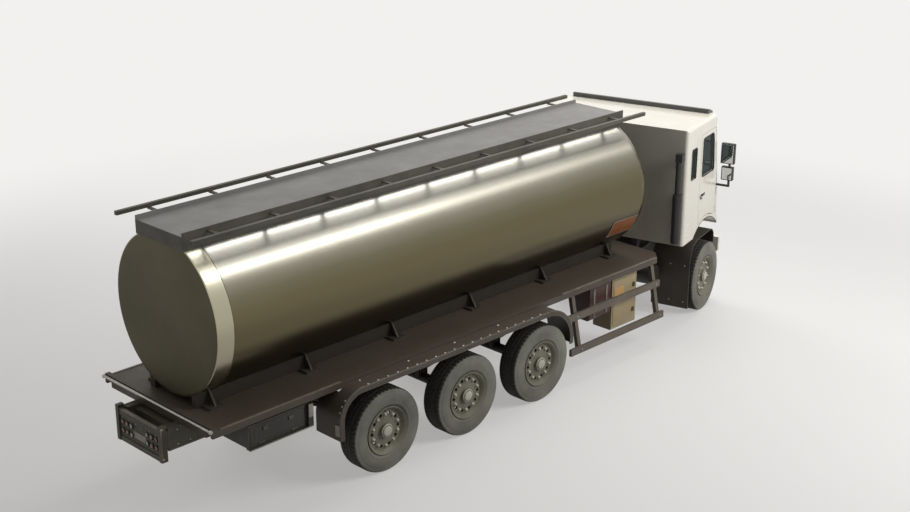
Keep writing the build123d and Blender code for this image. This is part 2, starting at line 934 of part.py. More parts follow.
def make_tyre(plane):
    """Tyre: round side walls from bead to shoulder and a slightly crowned tread."""
    axis = Axis(plane.origin, plane.y_dir)
    inner = tyre_width - 22
    bead = rim_radius + rim_lip
    shoulder = wheel_radius - 16
    with BuildPart() as tyre:
        with BuildSketch(plane):
            with BuildLine():
                Polyline(
                    (shoulder, tyre_width - 14),
                    (wheel_radius, tyre_width - 42),
                    (wheel_radius, 42),
                    (shoulder, 14),
                )
                ThreePointArc((shoulder, 14), ((bead + shoulder) / 2, 0), (bead, 30 + running_gap))
                Polyline(
                    (bead, 30 + running_gap),
                    (rim_radius + running_gap, 30 + running_gap),
                    (rim_radius + running_gap, inner - 8 - running_gap),
                    (bead, inner - 8 - running_gap),
                )
                ThreePointArc(
                    (bead, inner - 8 - running_gap),
                    ((bead + shoulder) / 2, tyre_width),
                    (shoulder, tyre_width - 14),
                )
            make_face()
        revolve(axis=axis)
    return tyre


wheel_places = [
    (f"rear_{i + 1}_{name}", tank_unit, x, side)
    for i, x in enumerate(rear_axle_xs)
    for name, side in sides
]
wheel_places += [(f"front_{name}", front_unit, front_axle_u, side) for name, side in sides]
for label, unit, x, side in wheel_places:
    save(make_rim(wheel_plane(x, side)), f"rim_{label}", unit)
    save(make_tyre(wheel_plane(x, side)), f"tyre_{label}", unit)

# ---- chassis of the cab unit ---------------------------------------------------
front_cross_us = (-370.0, 620.0, 1850.0)
cab_mount_us = (750.0, 1600.0)
mount_length = 100.0
hitch_plate_thickness = 40.0
with BuildPart() as front_frame:
    for name, side in sides:
        block(
            front_frame_rear_u,
            front_frame_front_u,
            side * (front_frame_half_width - front_rail_width),
            side * front_frame_half_width,
            front_frame_low_z,
            front_frame_top_z,
        )
        for u in cab_mount_us:
            block(
                u - mount_length / 2,
                u + mount_length / 2,
                side * (front_frame_half_width - front_rail_width),
                side * front_frame_half_width,
                front_frame_top_z,
                cab_low_z,
            )
    for u in front_cross_us:
        block(
            u - mount_length / 2,
            u + mount_length / 2,
            -front_frame_half_width + front_rail_width,
            front_frame_half_width - front_rail_width,
            front_frame_low_z + 30,
            front_frame_top_z - 10,
        )
    block(
        -hitch_ring_radius,
        hitch_ring_radius,
        -front_frame_half_width + front_rail_width,
        front_frame_half_width - front_rail_width,
        front_frame_top_z - hitch_plate_thickness,
        front_frame_top_z,
    )
    with Locations((0, 0, front_frame_top_z)):
        Cylinder(pin_radius + 20, pin_length, mode=Mode.SUBTRACT)
save(front_frame, "front_frame", front_unit)

# ---- air tanks: one across each rail, ahead of the hitch -----------------------
with BuildPart() as air_tanks:
    with BuildSketch(Plane.XZ.offset(front_frame_half_width)):
        with Locations((air_tank_u, air_tank_z)):
            Circle(air_tank_radius)
    extrude(amount=air_tank_outer_v - front_frame_half_width)
    fillet(air_tanks.edges().group_by(Axis.Y)[0], air_tank_edge)
    mirror(about=Plane.XZ)
save(air_tanks, "air_tanks", front_unit)

# ---- engine: a plain block between the rails, under the cab floor --------------
with BuildPart() as engine_block:
    block(
        engine_rear_u,
        engine_front_u,
        -front_frame_half_width + front_rail_width,
        front_frame_half_width - front_rail_width,
        engine_low_z,
        engine_top_z,
    )
save(engine_block, "engine_block", front_unit)

# ---- front axle beam with an eye at each end for the kingpin -------------------
with BuildPart() as front_axle:
    with BuildSketch(Plane.XY.offset(wheel_radius - beam_eye_height / 2)):
        with Locations((front_axle_u, 0)):
            Rectangle(axle_beam_width, 2 * kingpin_v)
        with Locations((front_axle_u, kingpin_v), (front_axle_u, -kingpin_v)):
            Circle(beam_eye_radius)
    extrude(amount=beam_eye_height)
    with BuildSketch(Plane.XY.offset(wheel_radius - beam_eye_height / 2)):
        with Locations((front_axle_u, kingpin_v), (front_axle_u, -kingpin_v)):
            Circle(kingpin_radius + running_gap)
    extrude(amount=beam_eye_height, mode=Mode.SUBTRACT)
save(front_axle, "front_axle", front_unit)

with BuildPart() as front_springs:
    for name, side in sides:
        half_length, seat, width, depth = front_spring_size
        leaf_spring(
            front_axle_u,
            half_length,
            side * (front_frame_half_width - front_rail_width / 2),
            wheel_radius + seat,
            front_frame_low_z,
            width,
            depth,
        )
    with BuildSketch(Plane.XY):
        with Locations((front_axle_u, 0)):
            Rectangle(4 * half_length, 4 * half_length)
    extrude(amount=wheel_radius + seat, mode=Mode.SUBTRACT)
save(front_springs, "front_springs", front_unit)

# ---- steering knuckles: two ears, web, arm and spindle --------------------------
ear_low = wheel_radius - beam_eye_height / 2 - face_gap
ear_high = wheel_radius + beam_eye_height / 2 + face_gap
web_v = kingpin_v + beam_eye_radius + 25
with BuildPart() as knuckle_right:
    for z0, z1 in ((ear_low - knuckle_ear, ear_low), (ear_high, ear_high + knuckle_ear)):
        block(
            front_axle_u - beam_eye_radius,
            front_axle_u + beam_eye_radius,
            -web_v,
            -kingpin_v,
            z0,
            z1,
        )
        with Locations((front_axle_u, -kingpin_v, (z0 + z1) / 2)):
            Cylinder(beam_eye_radius, z1 - z0)
    block(
        front_axle_u - beam_eye_radius,
        front_axle_u + beam_eye_radius,
        -web_v - web_thickness,
        -web_v,
        ear_low - knuckle_ear,
        ear_high + knuckle_ear,
    )
    with Locations((front_axle_u, -kingpin_v, wheel_radius)):
        Cylinder(kingpin_radius, ear_high - ear_low + 2)
    with Locations(Location((front_axle_u, -web_v - web_thickness, wheel_radius), (90, 0, 0))):
        Cylinder(
            spindle_radius,
            spindle_end - web_v - web_thickness,
            align=(Align.CENTER, Align.CENTER, Align.MIN),
        )
    block(
        front_axle_u - tie_rod_back - 25,
        front_axle_u - beam_eye_radius + 20,
        -kingpin_v - 20,
        -kingpin_v + 30,
        ear_low - knuckle_ear,
        ear_low - knuckle_ear + steer_arm_height,
    )
save(knuckle_right, "knuckle_right", front_unit)
with BuildPart() as knuckle_left:
    add(mirror(knuckle_right.part, about=Plane.XZ, mode=Mode.PRIVATE))
save(knuckle_left, "knuckle_left", front_unit)

tie_rod_top_z = ear_low - knuckle_ear - face_gap
with BuildPart() as tie_rod:
    with Locations(
        Location((front_axle_u - tie_rod_back, 0, tie_rod_top_z - tie_rod_radius), (90, 0, 0))
    ):
        Cylinder(tie_rod_radius, 2 * kingpin_v)
save(tie_rod, "tie_rod", front_unit)

# ---- cab shell: hollow, open at the doors, windscreen and quarter windows --------
# The cab is drawn in its own unit's frame and turned into place when it is saved.
def cab_points(inset, low_z, nose_low_z):
    """Corners of the cab's side view, drawn in by the inset."""
    brow_inset = 0.6 * inset
    return (
        (cab_rear_u + inset, low_z),
        (cab_rear_u + inset, cab_roof_z - inset),
        (cab_brow_u - cab_brow_drop - brow_inset, cab_roof_z - inset),
        (cab_brow_u - inset, cab_roof_z - cab_brow_drop - brow_inset),
        (cab_sill_u - inset, cab_sill_z),
        (cab_nose_u - inset, cab_sill_z - cab_chin_drop),
        (cab_nose_u - inset, nose_low_z),
        (cab_nose_u - cab_chin_depth, nose_low_z),
        (cab_nose_u - cab_chin_depth - arch_lip, low_z),
    )


def rake_u(z):
    """The windscreen plane's place along the cab at a height."""
    share = (z - cab_sill_z) / (cab_roof_z - cab_brow_drop - cab_sill_z)
    return cab_sill_u + share * (cab_brow_u - cab_sill_u)


door_points = (
    (door_rear_u, door_low_z),
    (door_front_u, door_low_z),
    (door_front_u, cab_sill_z),
    (rake_u(door_top_z) - cab_sill_u + door_front_u, door_top_z),
    (door_rear_u, door_top_z),
)
door_window_points = (
    (door_rear_u + door_frame, door_window_low_z),
    (rake_u(door_window_low_z) - cab_sill_u + door_front_u - 1.6 * door_frame, door_window_low_z),
    (rake_u(door_top_z) - cab_sill_u + door_front_u - 1.2 * door_frame, door_top_z - door_frame),
    (door_rear_u + door_frame, door_top_z - door_frame),
)
quarter_size = (quarter_front_u - quarter_rear_u, quarter_top_z - quarter_low_z)
quarter_centre = ((quarter_front_u + quarter_rear_u) / 2, (quarter_top_z + quarter_low_z) / 2)

with BuildPart() as cab_shell:
    with BuildSketch(Plane.XZ.offset(-cab_half_width)):
        with BuildLine():
            Polyline(*cab_points(0, cab_low_z, cab_nose_low_z), close=True)
        make_face()
    extrude(amount=2 * cab_half_width)
    side_edges = cab_shell.faces().sort_by(Axis.Y)[0].edges() + cab_shell.faces().sort_by(Axis.Y)[-1].edges()
    fillet(side_edges.filter_by_position(Axis.Z, cab_low_z + 100, cab_roof_z + 1), cab_edge)
    with BuildSketch(Plane.XZ.offset(-cab_half_width + cab_wall)):
        with BuildLine():
            Polyline(*cab_points(cab_wall, cab_floor_z, cab_floor_z)[:7], close=True)
        make_face()
    extrude(amount=2 * (cab_half_width - cab_wall), mode=Mode.SUBTRACT)
    # door ways and quarter windows
    for wall_v in (cab_half_width - cab_wall - 5, -cab_half_width - 5):
        with BuildSketch(Plane.XZ.offset(wall_v)):
            with BuildLine():
                Polyline(*door_points, close=True)
            make_face()
            with Locations(quarter_centre):
                Rectangle(*quarter_size)
        extrude(amount=cab_wall + 10, mode=Mode.SUBTRACT)
    # wheel arches: a lip in each side wall and a round tub through the floor
    for name, side in sides:
        tub_v = (arch_inner_v - arch_lip + cab_half_width) / 2
        with Locations(Location((arch_u, side * tub_v, arch_z), (90, 0, 0))):
            Cylinder(arch_radius + arch_lip, cab_half_width - arch_inner_v + arch_lip)
    with BuildSketch(Plane.XZ.offset(-cab_half_width)):
        with BuildLine():
            Polyline(*cab_points(0, cab_low_z, cab_nose_low_z), close=True)
        make_face()
    extrude(amount=2 * cab_half_width, mode=Mode.INTERSECT)
    for name, side in sides:
        with Locations(Location((arch_u, side * (arch_inner_v + cab_half_width + 1) / 2, arch_z), (90, 0, 0))):
            Cylinder(arch_radius, cab_half_width + 1 - arch_inner_v, mode=Mode.SUBTRACT)
        # pockets for the door's hinge barrels
        with Locations([(door_front_u, side * cab_half_width, z) for z in door_barrel_zs]):
            Cylinder(
                door_barrel_radius + barrel_clearance,
                door_barrel_length + 2 * barrel_clearance,
                mode=Mode.SUBTRACT,
            )
    # windscreen opening
    with BuildSketch(Plane.YZ.offset(door_front_u - 4 * cab_wall)):
        with Locations((0, (screen_low_z + screen_top_z) / 2)):
            RectangleRounded(2 * screen_half_width, screen_top_z - screen_low_z, screen_corner)
    extrude(amount=8 * cab_wall, mode=Mode.SUBTRACT)
save(cab_shell, "cab_shell", front_unit)

# ---- doors: wall-thick panels with a window frame and a handle ---------------------
with BuildPart() as door_right:
    with BuildSketch(Plane.XZ.offset(cab_half_width - cab_wall)):
        with BuildLine():
            Polyline(*door_points, close=True)
        make_face()
        offset(amount=-door_gap, kind=Kind.INTERSECTION, mode=Mode.REPLACE)
        with BuildLine():
            Polyline(*door_window_points, close=True)
        make_face(mode=Mode.SUBTRACT)
        with Locations((arch_u, arch_z)):
            Circle(arch_radius + arch_lip + 2 * door_gap, mode=Mode.SUBTRACT)
    extrude(amount=cab_wall)
    handle_u = door_rear_u + door_frame
    handle_z = (door_low_z + door_window_low_z + cab_wall) / 2
    block(
        handle_u,
        handle_u + door_handle_length,
        -cab_half_width - door_handle_rise,
        -cab_half_width - door_handle_rise + door_handle_height / 2,
        handle_z,
        handle_z + door_handle_height,
    )
    for u in (handle_u, handle_u + door_handle_length - door_handle_height):
        block(
            u,
            u + door_handle_height,
            -cab_half_width - door_handle_height / 2,
            -cab_half_width,
            handle_z,
            handle_z + door_handle_height,
        )
    with Locations([(door_front_u, -cab_half_width, z) for z in door_barrel_zs]):
        Cylinder(door_barrel_radius, door_barrel_length)
save(door_right, "door_right", front_unit)
with BuildPart() as door_left:
    add(mirror(door_right.part, about=Plane.XZ, mode=Mode.PRIVATE))
save(door_left, "door_left", front_unit)

with BuildPart() as door_glass_right:
    with BuildSketch(Plane.XZ.offset(cab_half_width - glass_inset - glass_thickness)):
        with BuildLine():
            Polyline(*door_window_points, close=True)
        make_face()
    extrude(amount=glass_thickness)
save(door_glass_right, "door_glass_right", front_unit)
with BuildPart() as door_glass_left:
    add(mirror(door_glass_right.part, about=Plane.XZ, mode=Mode.PRIVATE))
save(door_glass_left, "door_glass_left", front_unit)

# ---- fixed glass: windscreen in the rake and the two quarter windows ----------------
with BuildPart() as cab_glass:
    with BuildSketch(Plane.XZ.offset(-screen_half_width)):
        with BuildLine():
            Polyline(
                (rake_u(screen_low_z) - glass_inset - glass_thickness, screen_low_z),
                (rake_u(screen_low_z) - glass_inset, screen_low_z),
                (rake_u(screen_top_z) - glass_inset, screen_top_z),
                (rake_u(screen_top_z) - glass_inset - glass_thickness, screen_top_z),
                close=True,
            )
        make_face()
    extrude(amount=2 * screen_half_width)
    with BuildSketch(Plane.YZ.offset(door_front_u - 4 * cab_wall)):
        with Locations((0, (screen_low_z + screen_top_z) / 2)):
            RectangleRounded(2 * screen_half_width, screen_top_z - screen_low_z, screen_corner)
    extrude(amount=8 * cab_wall, mode=Mode.INTERSECT)
    for offset_v in (cab_half_width - glass_inset - glass_thickness, -cab_half_width + glass_inset):
        with BuildSketch(Plane.XZ.offset(offset_v)):
            with Locations(quarter_centre):
                Rectangle(*quarter_size)
        extrude(amount=glass_thickness)
save(cab_glass, "cab_glass", front_unit)

# ---- cab inside: seats, dashboard and steering wheel --------------------------------
seat_rear_u = cab_rear_u + cab_wall + 60
seat_width = 500.0
seat_base_half_width = 135.0
seat_v = arch_inner_v - arch_lip - seat_base_half_width - 5
seat_back_height = 1120.0
seat_length = 560.0
with BuildPart() as seats:
    for name, side in sides:
        with BuildSketch(Plane.XZ.offset(side * seat_v - seat_width / 2)) as seat_view:
            with BuildLine():
                Polyline(
                    (seat_rear_u + 60, cab_floor_z + 150),
                    (seat_rear_u + seat_length, cab_floor_z + 190),
                    (seat_rear_u + seat_length, cab_floor_z + 340),
                    (seat_rear_u + 190, cab_floor_z + 310),
                    (seat_rear_u + 120, cab_floor_z + seat_back_height),
                    (seat_rear_u, cab_floor_z + seat_back_height),
                    close=True,
                )
            make_face()
            fillet(seat_view.vertices(), 45)
        extrude(amount=seat_width)
        block(
            seat_rear_u + 130,
            seat_rear_u + seat_length - 80,
            side * (seat_v - seat_base_half_width),
            side * (seat_v + seat_base_half_width),
            cab_floor_z,
            cab_floor_z + 180,
        )
save(seats, "seats", front_unit)

dashboard_half_width = cab_half_width - cab_wall - door_gap
with BuildPart() as dashboard:
    with BuildSketch(Plane.XZ.offset(-dashboard_half_width)):
        with BuildLine():
            Polyline(
                (cab_nose_u - cab_wall - 20, cab_floor_z),
                (cab_nose_u - cab_wall - 70, cab_sill_z - 60),
                (cab_nose_u - cab_wall - 260, cab_sill_z - 90),
                (cab_nose_u - cab_wall - 300, cab_sill_z - 260),
                (cab_nose_u - cab_wall - 200, cab_floor_z),
                close=True,
            )
        make_face()
    extrude(amount=2 * dashboard_half_width)
    for name, side in sides:
        with Locations(Location((arch_u, side * cab_half_width, arch_z), (90, 0, 0))):
            Cylinder(
                arch_radius + arch_lip + 1,
                2 * (cab_half_width - arch_inner_v + arch_lip + 1),
                mode=Mode.SUBTRACT,
            )
save(dashboard, "dashboard", front_unit)

hand_wheel_radius = 205.0
hand_wheel_rim = 15.0
hand_wheel_hub = 60.0
spoke_width = 34.0
column_radius = 25.0
column_length = 320.0
wheel_centre = (cab_nose_u - cab_wall - 400, seat_v, cab_sill_z - 60)
column_plane = Plane(origin=wheel_centre, x_dir=(0, 1, 0), z_dir=(-0.62, 0, 0.78))
with BuildPart() as steering_wheel:
    with BuildSketch(Plane(column_plane.origin, x_dir=column_plane.z_dir, z_dir=(0, 1, 0))):
        with Locations((0, hand_wheel_radius)):
            Circle(hand_wheel_rim)
    revolve(axis=Axis(column_plane.origin, column_plane.z_dir))
    with BuildSketch(column_plane):
        Rectangle(2 * hand_wheel_radius - 10, spoke_width)
        Rectangle(spoke_width, 2 * hand_wheel_radius - 10)
        Circle(hand_wheel_hub)
    extrude(amount=10, both=True)
    with BuildSketch(column_plane):
        Circle(column_radius)
    extrude(amount=-column_length)
    add(dashboard.part, mode=Mode.SUBTRACT)
save(steering_wheel, "steering_wheel", front_unit)

# ---- front end: bumper, grille, headlamps, sun visor ---------------------------------
with BuildPart() as bumper:
    block(bumper_rear_u, bumper_front_u, -cab_half_width, cab_half_width, bumper_low_z, bumper_top_z)
    block(
        bumper_rear_u - 40,
        bumper_front_u - 10,
        -bumper_inner_half_width,
        bumper_inner_half_width,
        bumper_skirt_z,
        bumper_low_z,
    )
    for name, side in sides:
        block(
            front_frame_front_u,
            bumper_rear_u,
            side * (front_frame_half_width - front_rail_width),
            side * front_frame_half_width,
            front_frame_low_z + 40,
            front_frame_top_z - 20,
        )
    block(
        bumper_rear_u - 40,
        bumper_rear_u,
        -bumper_inner_half_width,
        bumper_inner_half_width,
        bumper_low_z,
        bumper_top_z,
    )
    block(
        bumper_front_u - 10,
        bumper_front_u + tow_eye_reach + 2 * tow_eye_radius,
        -50,
        50,
        tow_eye_low_z,
        tow_eye_low_z + tow_eye_height,
    )
    with Locations((bumper_front_u + tow_eye_reach, 0, tow_eye_low_z + tow_eye_height / 2)):
        Cylinder(tow_eye_radius, 2 * tow_eye_height, mode=Mode.SUBTRACT)
save(bumper, "bumper", front_unit)

grille_slats = 6
grille_low_z = cab_nose_low_z + 120
grille_pitch = 60.0
grille_half_width = 760.0
slat_height = 30.0
slat_depth = 26.0
with BuildPart() as grille:
    for i in range(grille_slats):
        z = grille_low_z + i * grille_pitch
        block(cab_nose_u, cab_nose_u + slat_depth, -grille_half_width, grille_half_width, z, z + slat_height)
    for v in (-grille_half_width + 25, 0, grille_half_width - 25):
        block(
            cab_nose_u,
            cab_nose_u + 0.7 * slat_depth,
            v - 25,
            v + 25,
            grille_low_z,
            grille_low_z + (grille_slats - 1) * grille_pitch + slat_height,
        )
save(grille, "grille", front_unit)

headlamp_v = cab_half_width - 265.0
headlamp_z = (bumper_low_z + bumper_top_z) / 2
with BuildPart() as headlamps:
    with BuildSketch(Plane.YZ.offset(bumper_front_u)):
        with Locations((-headlamp_v, headlamp_z), (headlamp_v, headlamp_z)):
            RectangleRounded(headlamp_width, headlamp_height, 40)
    extrude(amount=16)
save(headlamps, "headlamps", front_unit)

visor_half_width = cab_half_width - 115.0
with BuildPart() as sun_visor:
    with BuildSketch(Plane.XZ.offset(-visor_half_width)):
        with BuildLine():
            Polyline(
                (cab_brow_u - 110, cab_roof_z),
                (cab_brow_u - 60, cab_roof_z),
                (cab_brow_u + 70, cab_roof_z - 25),
                (cab_brow_u + 70, cab_roof_z + 5),
                (cab_brow_u - 60, cab_roof_z + 60),
                (cab_brow_u - 110, cab_roof_z + 60),
                close=True,
            )
        make_face()
    extrude(amount=2 * visor_half_width)
save(sun_visor, "sun_visor", front_unit)

# ---- mirrors on arms at the cab's front corners ----------------------------------------
mirror_outer_v = cab_half_width + mirror_reach
mirror_stem_v = mirror_outer_v - 50.0
mirror_main_low_z = mirror_top_z - mirror_main_height
mirror_lower_top_z = mirror_main_low_z - mirror_split
# columns: inner v, outer v, low z, top z
mirror_heads = (
    (mirror_outer_v - mirror_width, mirror_outer_v, mirror_main_low_z, mirror_top_z),
    (
        mirror_outer_v - 0.9 * mirror_width,
        mirror_outer_v - 10,
        mirror_lower_top_z - mirror_lower_height,
        mirror_lower_top_z,
    ),
)
with BuildPart() as mirrors:
    for name, side in sides:
        block(
            mirror_arm_u,
            mirror_arm_u + mirror_arm_size,
            side * cab_half_width,
            side * mirror_stem_v,
            mirror_low_z,
            mirror_low_z + mirror_arm_size,
        )
        block(
            mirror_arm_u,
            mirror_arm_u + mirror_arm_size,
            side * (mirror_stem_v - mirror_arm_size),
            side * mirror_stem_v,
            mirror_low_z,
            mirror_top_z - 20,
        )
        for inner_v, outer_v, low_z, top_z in mirror_heads:
            block(
                mirror_arm_u - 2,
                mirror_arm_u - 2 + mirror_depth,
                side * inner_v,
                side * outer_v,
                low_z,
                top_z,
            )
save(mirrors, "mirrors", front_unit)

# ---- air intake pipe up the back of the cab ----------------------------------------------
with BuildPart() as intake_pipe:
    # columns: radius, low z, top z
    for radius, low_z, top_z in (
        (intake_thick_radius, intake_low_z, intake_neck_z),
        (intake_thin_radius, intake_neck_z, intake_top_z),
    ):
        with Locations((intake_u, intake_v, low_z)):
            Cylinder(radius, top_z - low_z, align=(Align.CENTER, Align.CENTER, Align.MIN))
    block(
        intake_u - intake_thin_radius,
        intake_u + intake_thin_radius,
        intake_v - 1.6 * intake_thin_radius,
        intake_v + intake_thin_radius,
        intake_top_z - 0.7 * intake_head_height,
        intake_top_z + 0.3 * intake_head_height,
    )
    for share in (0.1, 0.5, 0.9):
        z = intake_low_z + share * (intake_top_z - intake_low_z)
        block(intake_u, cab_rear_u, intake_v - 15, intake_v + 15, z, z + intake_bracket_height)
save(intake_pipe, "intake_pipe", front_unit)

# ---- front fenders and flaps over the steered wheels ----------------------------------------
fender_edge = (flap_u, fender_front_u, flap_low_z, fender_top_z, fender_rear_radius, fender_front_radius)
fender_full = guard_view(*fender_edge, 0)
fender_hollow = guard_view(*fender_edge, fender_thickness)
with BuildPart() as front_fenders:
    # the hood over the tyre
    with BuildSketch(Plane.XZ.offset(tyre_inner_y)):
        add(fender_full)
        add(fender_hollow, mode=Mode.SUBTRACT)
        with Locations((flap_u + fender_rear_radius, fender_front_low_z)):
            Rectangle(
                fender_front_u - flap_u,
                fender_front_low_z,
                align=(Align.MIN, Align.MAX),
                mode=Mode.SUBTRACT,
            )
    extrude(amount=cab_half_width - 20 - tyre_inner_y)
    # the splash panel behind it, wider and rounded over at the top
    with BuildSketch(Plane.XZ.offset(flap_inner_v)):
        add(fender_full)
        add(fender_hollow, mode=Mode.SUBTRACT)
        with Locations((flap_u + fender_rear_radius, flap_low_z)):
            Rectangle(
                fender_front_u - flap_u,
                2 * fender_top_z,
                align=(Align.MIN, Align.CENTER),
                mode=Mode.SUBTRACT,
            )
    extrude(amount=cab_half_width - flap_inner_v)
    block(
        flap_u,
        flap_u + flap_bar_size,
        -tyre_inner_y,
        -front_frame_half_width,
        front_frame_low_z + flap_bar_size,
        front_frame_low_z + 3 * flap_bar_size,
    )
    mirror(about=Plane.XZ)
save(front_fenders, "front_fenders", front_unit)
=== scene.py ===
import math

import bmesh
import bpy
import numpy as np
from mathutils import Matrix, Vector
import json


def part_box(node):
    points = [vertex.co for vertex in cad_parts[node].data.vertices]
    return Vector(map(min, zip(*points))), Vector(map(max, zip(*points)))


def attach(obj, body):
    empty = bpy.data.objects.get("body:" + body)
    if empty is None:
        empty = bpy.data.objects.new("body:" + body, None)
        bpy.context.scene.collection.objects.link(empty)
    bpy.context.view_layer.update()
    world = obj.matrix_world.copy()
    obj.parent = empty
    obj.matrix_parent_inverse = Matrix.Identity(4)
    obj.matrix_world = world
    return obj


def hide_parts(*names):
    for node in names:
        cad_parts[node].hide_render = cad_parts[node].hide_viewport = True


print("scene: frame")
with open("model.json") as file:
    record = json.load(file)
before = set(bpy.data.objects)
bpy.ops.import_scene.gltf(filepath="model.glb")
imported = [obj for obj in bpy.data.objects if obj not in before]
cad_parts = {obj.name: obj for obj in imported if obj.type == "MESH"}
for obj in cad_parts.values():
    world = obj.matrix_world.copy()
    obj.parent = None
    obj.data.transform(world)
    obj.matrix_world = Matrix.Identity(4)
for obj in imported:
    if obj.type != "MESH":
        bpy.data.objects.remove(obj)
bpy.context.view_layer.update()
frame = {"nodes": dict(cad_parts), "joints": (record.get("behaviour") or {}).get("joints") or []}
nodes = frame["nodes"]
joints = {j["name"]: j for j in frame["joints"]}
up = np.array((0.0, 0.0, 1.0))

# Both units are measured from the hitch: ahead, to the left, up from the floor.
hitch = np.array(joints["articulation"]["pos_m"]) * (1, 1, 0)
cabLeft = np.array(joints["spin_front_left"]["axis"])
cabAhead = np.cross(cabLeft, up)
units = {"tank": np.array(((1.0, 0, 0), (0, 1.0, 0), (0, 0, 1.0))), "cab": np.array((cabAhead, cabLeft, up))}


def toRow(points, unit):
    # points in a unit's own frame -> the shared frame
    return np.asarray(points, float) @ units[unit] + hitch


def unitBox(node, unit):
    # a CAD node's low and high corner in its unit's own frame
    co = np.empty(len(nodes[node].data.vertices) * 3)
    nodes[node].data.vertices.foreach_get("co", co)
    local = (co.reshape(-1, 3) - hitch) @ units[unit].T
    return local.min(0), local.max(0)


# materials
def linear(hexColour, alpha=1.0):
    # sRGB hex -> linear RGBA
    channels = np.array([int(hexColour[i : i + 2], 16) for i in (1, 3, 5)]) / 255
    low, high = channels / 12.92, ((channels + 0.055) / 1.055) ** 2.4
    return (*np.where(channels <= 0.04045, low, high), alpha)


def newMaterial(name):
    mat = bpy.data.materials.new(name)
    mat.use_nodes = True
    mat.node_tree.nodes.clear()
    return mat


def addNode(mat, kind, settings=None, links=None):
    # one node, its settings, and what feeds its inputs; constants go on its sockets
    tree = mat.node_tree
    node = tree.nodes.new("ShaderNode" + kind)
    for key, value in (settings or {}).items():
        if isinstance(key, str) and hasattr(node, key):
            setattr(node, key, value)
        else:
            node.inputs[key].default_value = value
    for key, socket in (links or {}).items():
        tree.links.new(socket, node.inputs[key])
    return node


def addOutput(mat, shader):
    return addNode(mat, "OutputMaterial", links={"Surface": shader})


def objectPlace(mat):
    return addNode(mat, "TexCoord").outputs["Object"]


def addNoise(mat, vector, scale, detail=6.0, roughness=0.6):
    settings = {"Scale": scale, "Detail": detail, "Roughness": roughness}
    return addNode(mat, "TexNoise", settings, {"Vector": vector}).outputs["Fac"]


def addRange(mat, value, fromLow, fromHigh, toLow=0.0, toHigh=1.0):
    settings = {1: fromLow, 2: fromHigh, 3: toLow, 4: toHigh}
    return addNode(mat, "MapRange", settings, {0: value}).outputs[0]


def addMath(mat, operation, first, second):
    node = addNode(mat, "Math", {"operation": operation})
    for i, value in enumerate((first, second)):
        if isinstance(value, (int, float)):
            node.inputs[i].default_value = value
        else:
            mat.node_tree.links.new(value, node.inputs[i])
    return node.outputs[0]


def product(mat, first, second):
    return addMath(mat, "MULTIPLY", first, second)


def addMix(mat, share, first, second):
    # colour mix; first and second are sockets or linear colours
    node = addNode(mat, "Mix", {"data_type": "RGBA"}, {0: share})
    for i, value in ((6, first), (7, second)):
        if isinstance(value, tuple):
            node.inputs[i].default_value = value
        else:
            mat.node_tree.links.new(value, node.inputs[i])
    return node.outputs[2]


def mixedShader(mat, share, first, second):
    return addNode(mat, "MixShader", links={0: share, 1: first.outputs[0], 2: second.outputs[0]}).outputs[0]


def finished(mat, colour, roughness, relief, strength, depth, gloss):
    # the last nodes of an opaque surface: a low relief, the shader and the output
    bump = addNode(mat, "Bump", {"Strength": strength, "Distance": depth}, {"Height": relief})
    links = {"Base Color": colour, "Roughness": roughness, "Normal": bump.outputs[0]}
    addOutput(mat, addNode(mat, "BsdfPrincipled", gloss, links).outputs[0])
    return mat


def paintedSurface(name, look):
    # paint, plastic or bare metal: patchy colour, dust from above and below, worn edges, fine grain
    mat = newMaterial(name)
    place = objectPlace(mat)
    patch = addNoise(mat, place, look.get("patchScale", 2.0))
    fine = addNoise(mat, place, look.get("fineScale", 90.0), 4.0)
    streak = addNoise(
        mat,
        addNode(
            mat, "Mapping", {"Scale": look.get("streakScale", (9.0, 9.0, 0.9))}, {"Vector": place}
        ).outputs[0],
        1.6,
    )
    colour = addMix(
        mat,
        addRange(mat, patch, 0.35, 0.68),
        linear(look["colour"]),
        linear(look.get("second", look["colour"])),
    )
    geometry = addNode(mat, "NewGeometry")
    facing = addNode(mat, "SeparateXYZ", links={0: geometry.outputs["Normal"]}).outputs["Z"]
    height = addNode(mat, "SeparateXYZ", links={0: place}).outputs["Z"]
    dustTop = product(mat, addRange(mat, facing, 0.2, 0.95), patch)
    dustLow = product(mat, addRange(mat, height, 0.1, look.get("dustHeight", 1.3), 1.0, 0.0), streak)
    dust = product(mat, addMath(mat, "MAXIMUM", dustTop, dustLow), look.get("dust", 0.5))
    colour = addMix(mat, dust, colour, linear(look.get("dustColour", "#6B6151")))
    if look.get("wear", 0) > 0:
        soft = addNode(mat, "Bevel", {"samples": 4, "Radius": look.get("wearRadius", 0.008)})
        bend = addNode(
            mat,
            "VectorMath",
            {"operation": "DOT_PRODUCT"},
            {0: soft.outputs[0], 1: geometry.outputs["Normal"]},
        ).outputs["Value"]
        edge = product(
            mat, addRange(mat, bend, 0.985, 0.86), addRange(mat, fine, 0.42, 0.62, 0.0, look["wear"])
        )
        colour = addMix(mat, edge, colour, linear(look.get("wearColour", "#8C8A80")))
    roughness = addRange(mat, patch, 0.3, 0.7, look["roughness"][0], look["roughness"][1])
    roughness = addMath(mat, "ADD", roughness, product(mat, dust, 0.25))
    gloss = {
        "Metallic": look.get("metallic", 0.0), "Coat Weight": look.get("coat", 0.0), "Coat Roughness": 0.08
    }
    return finished(mat, colour, roughness, fine, look.get("bump", 0.15), 0.002, gloss)


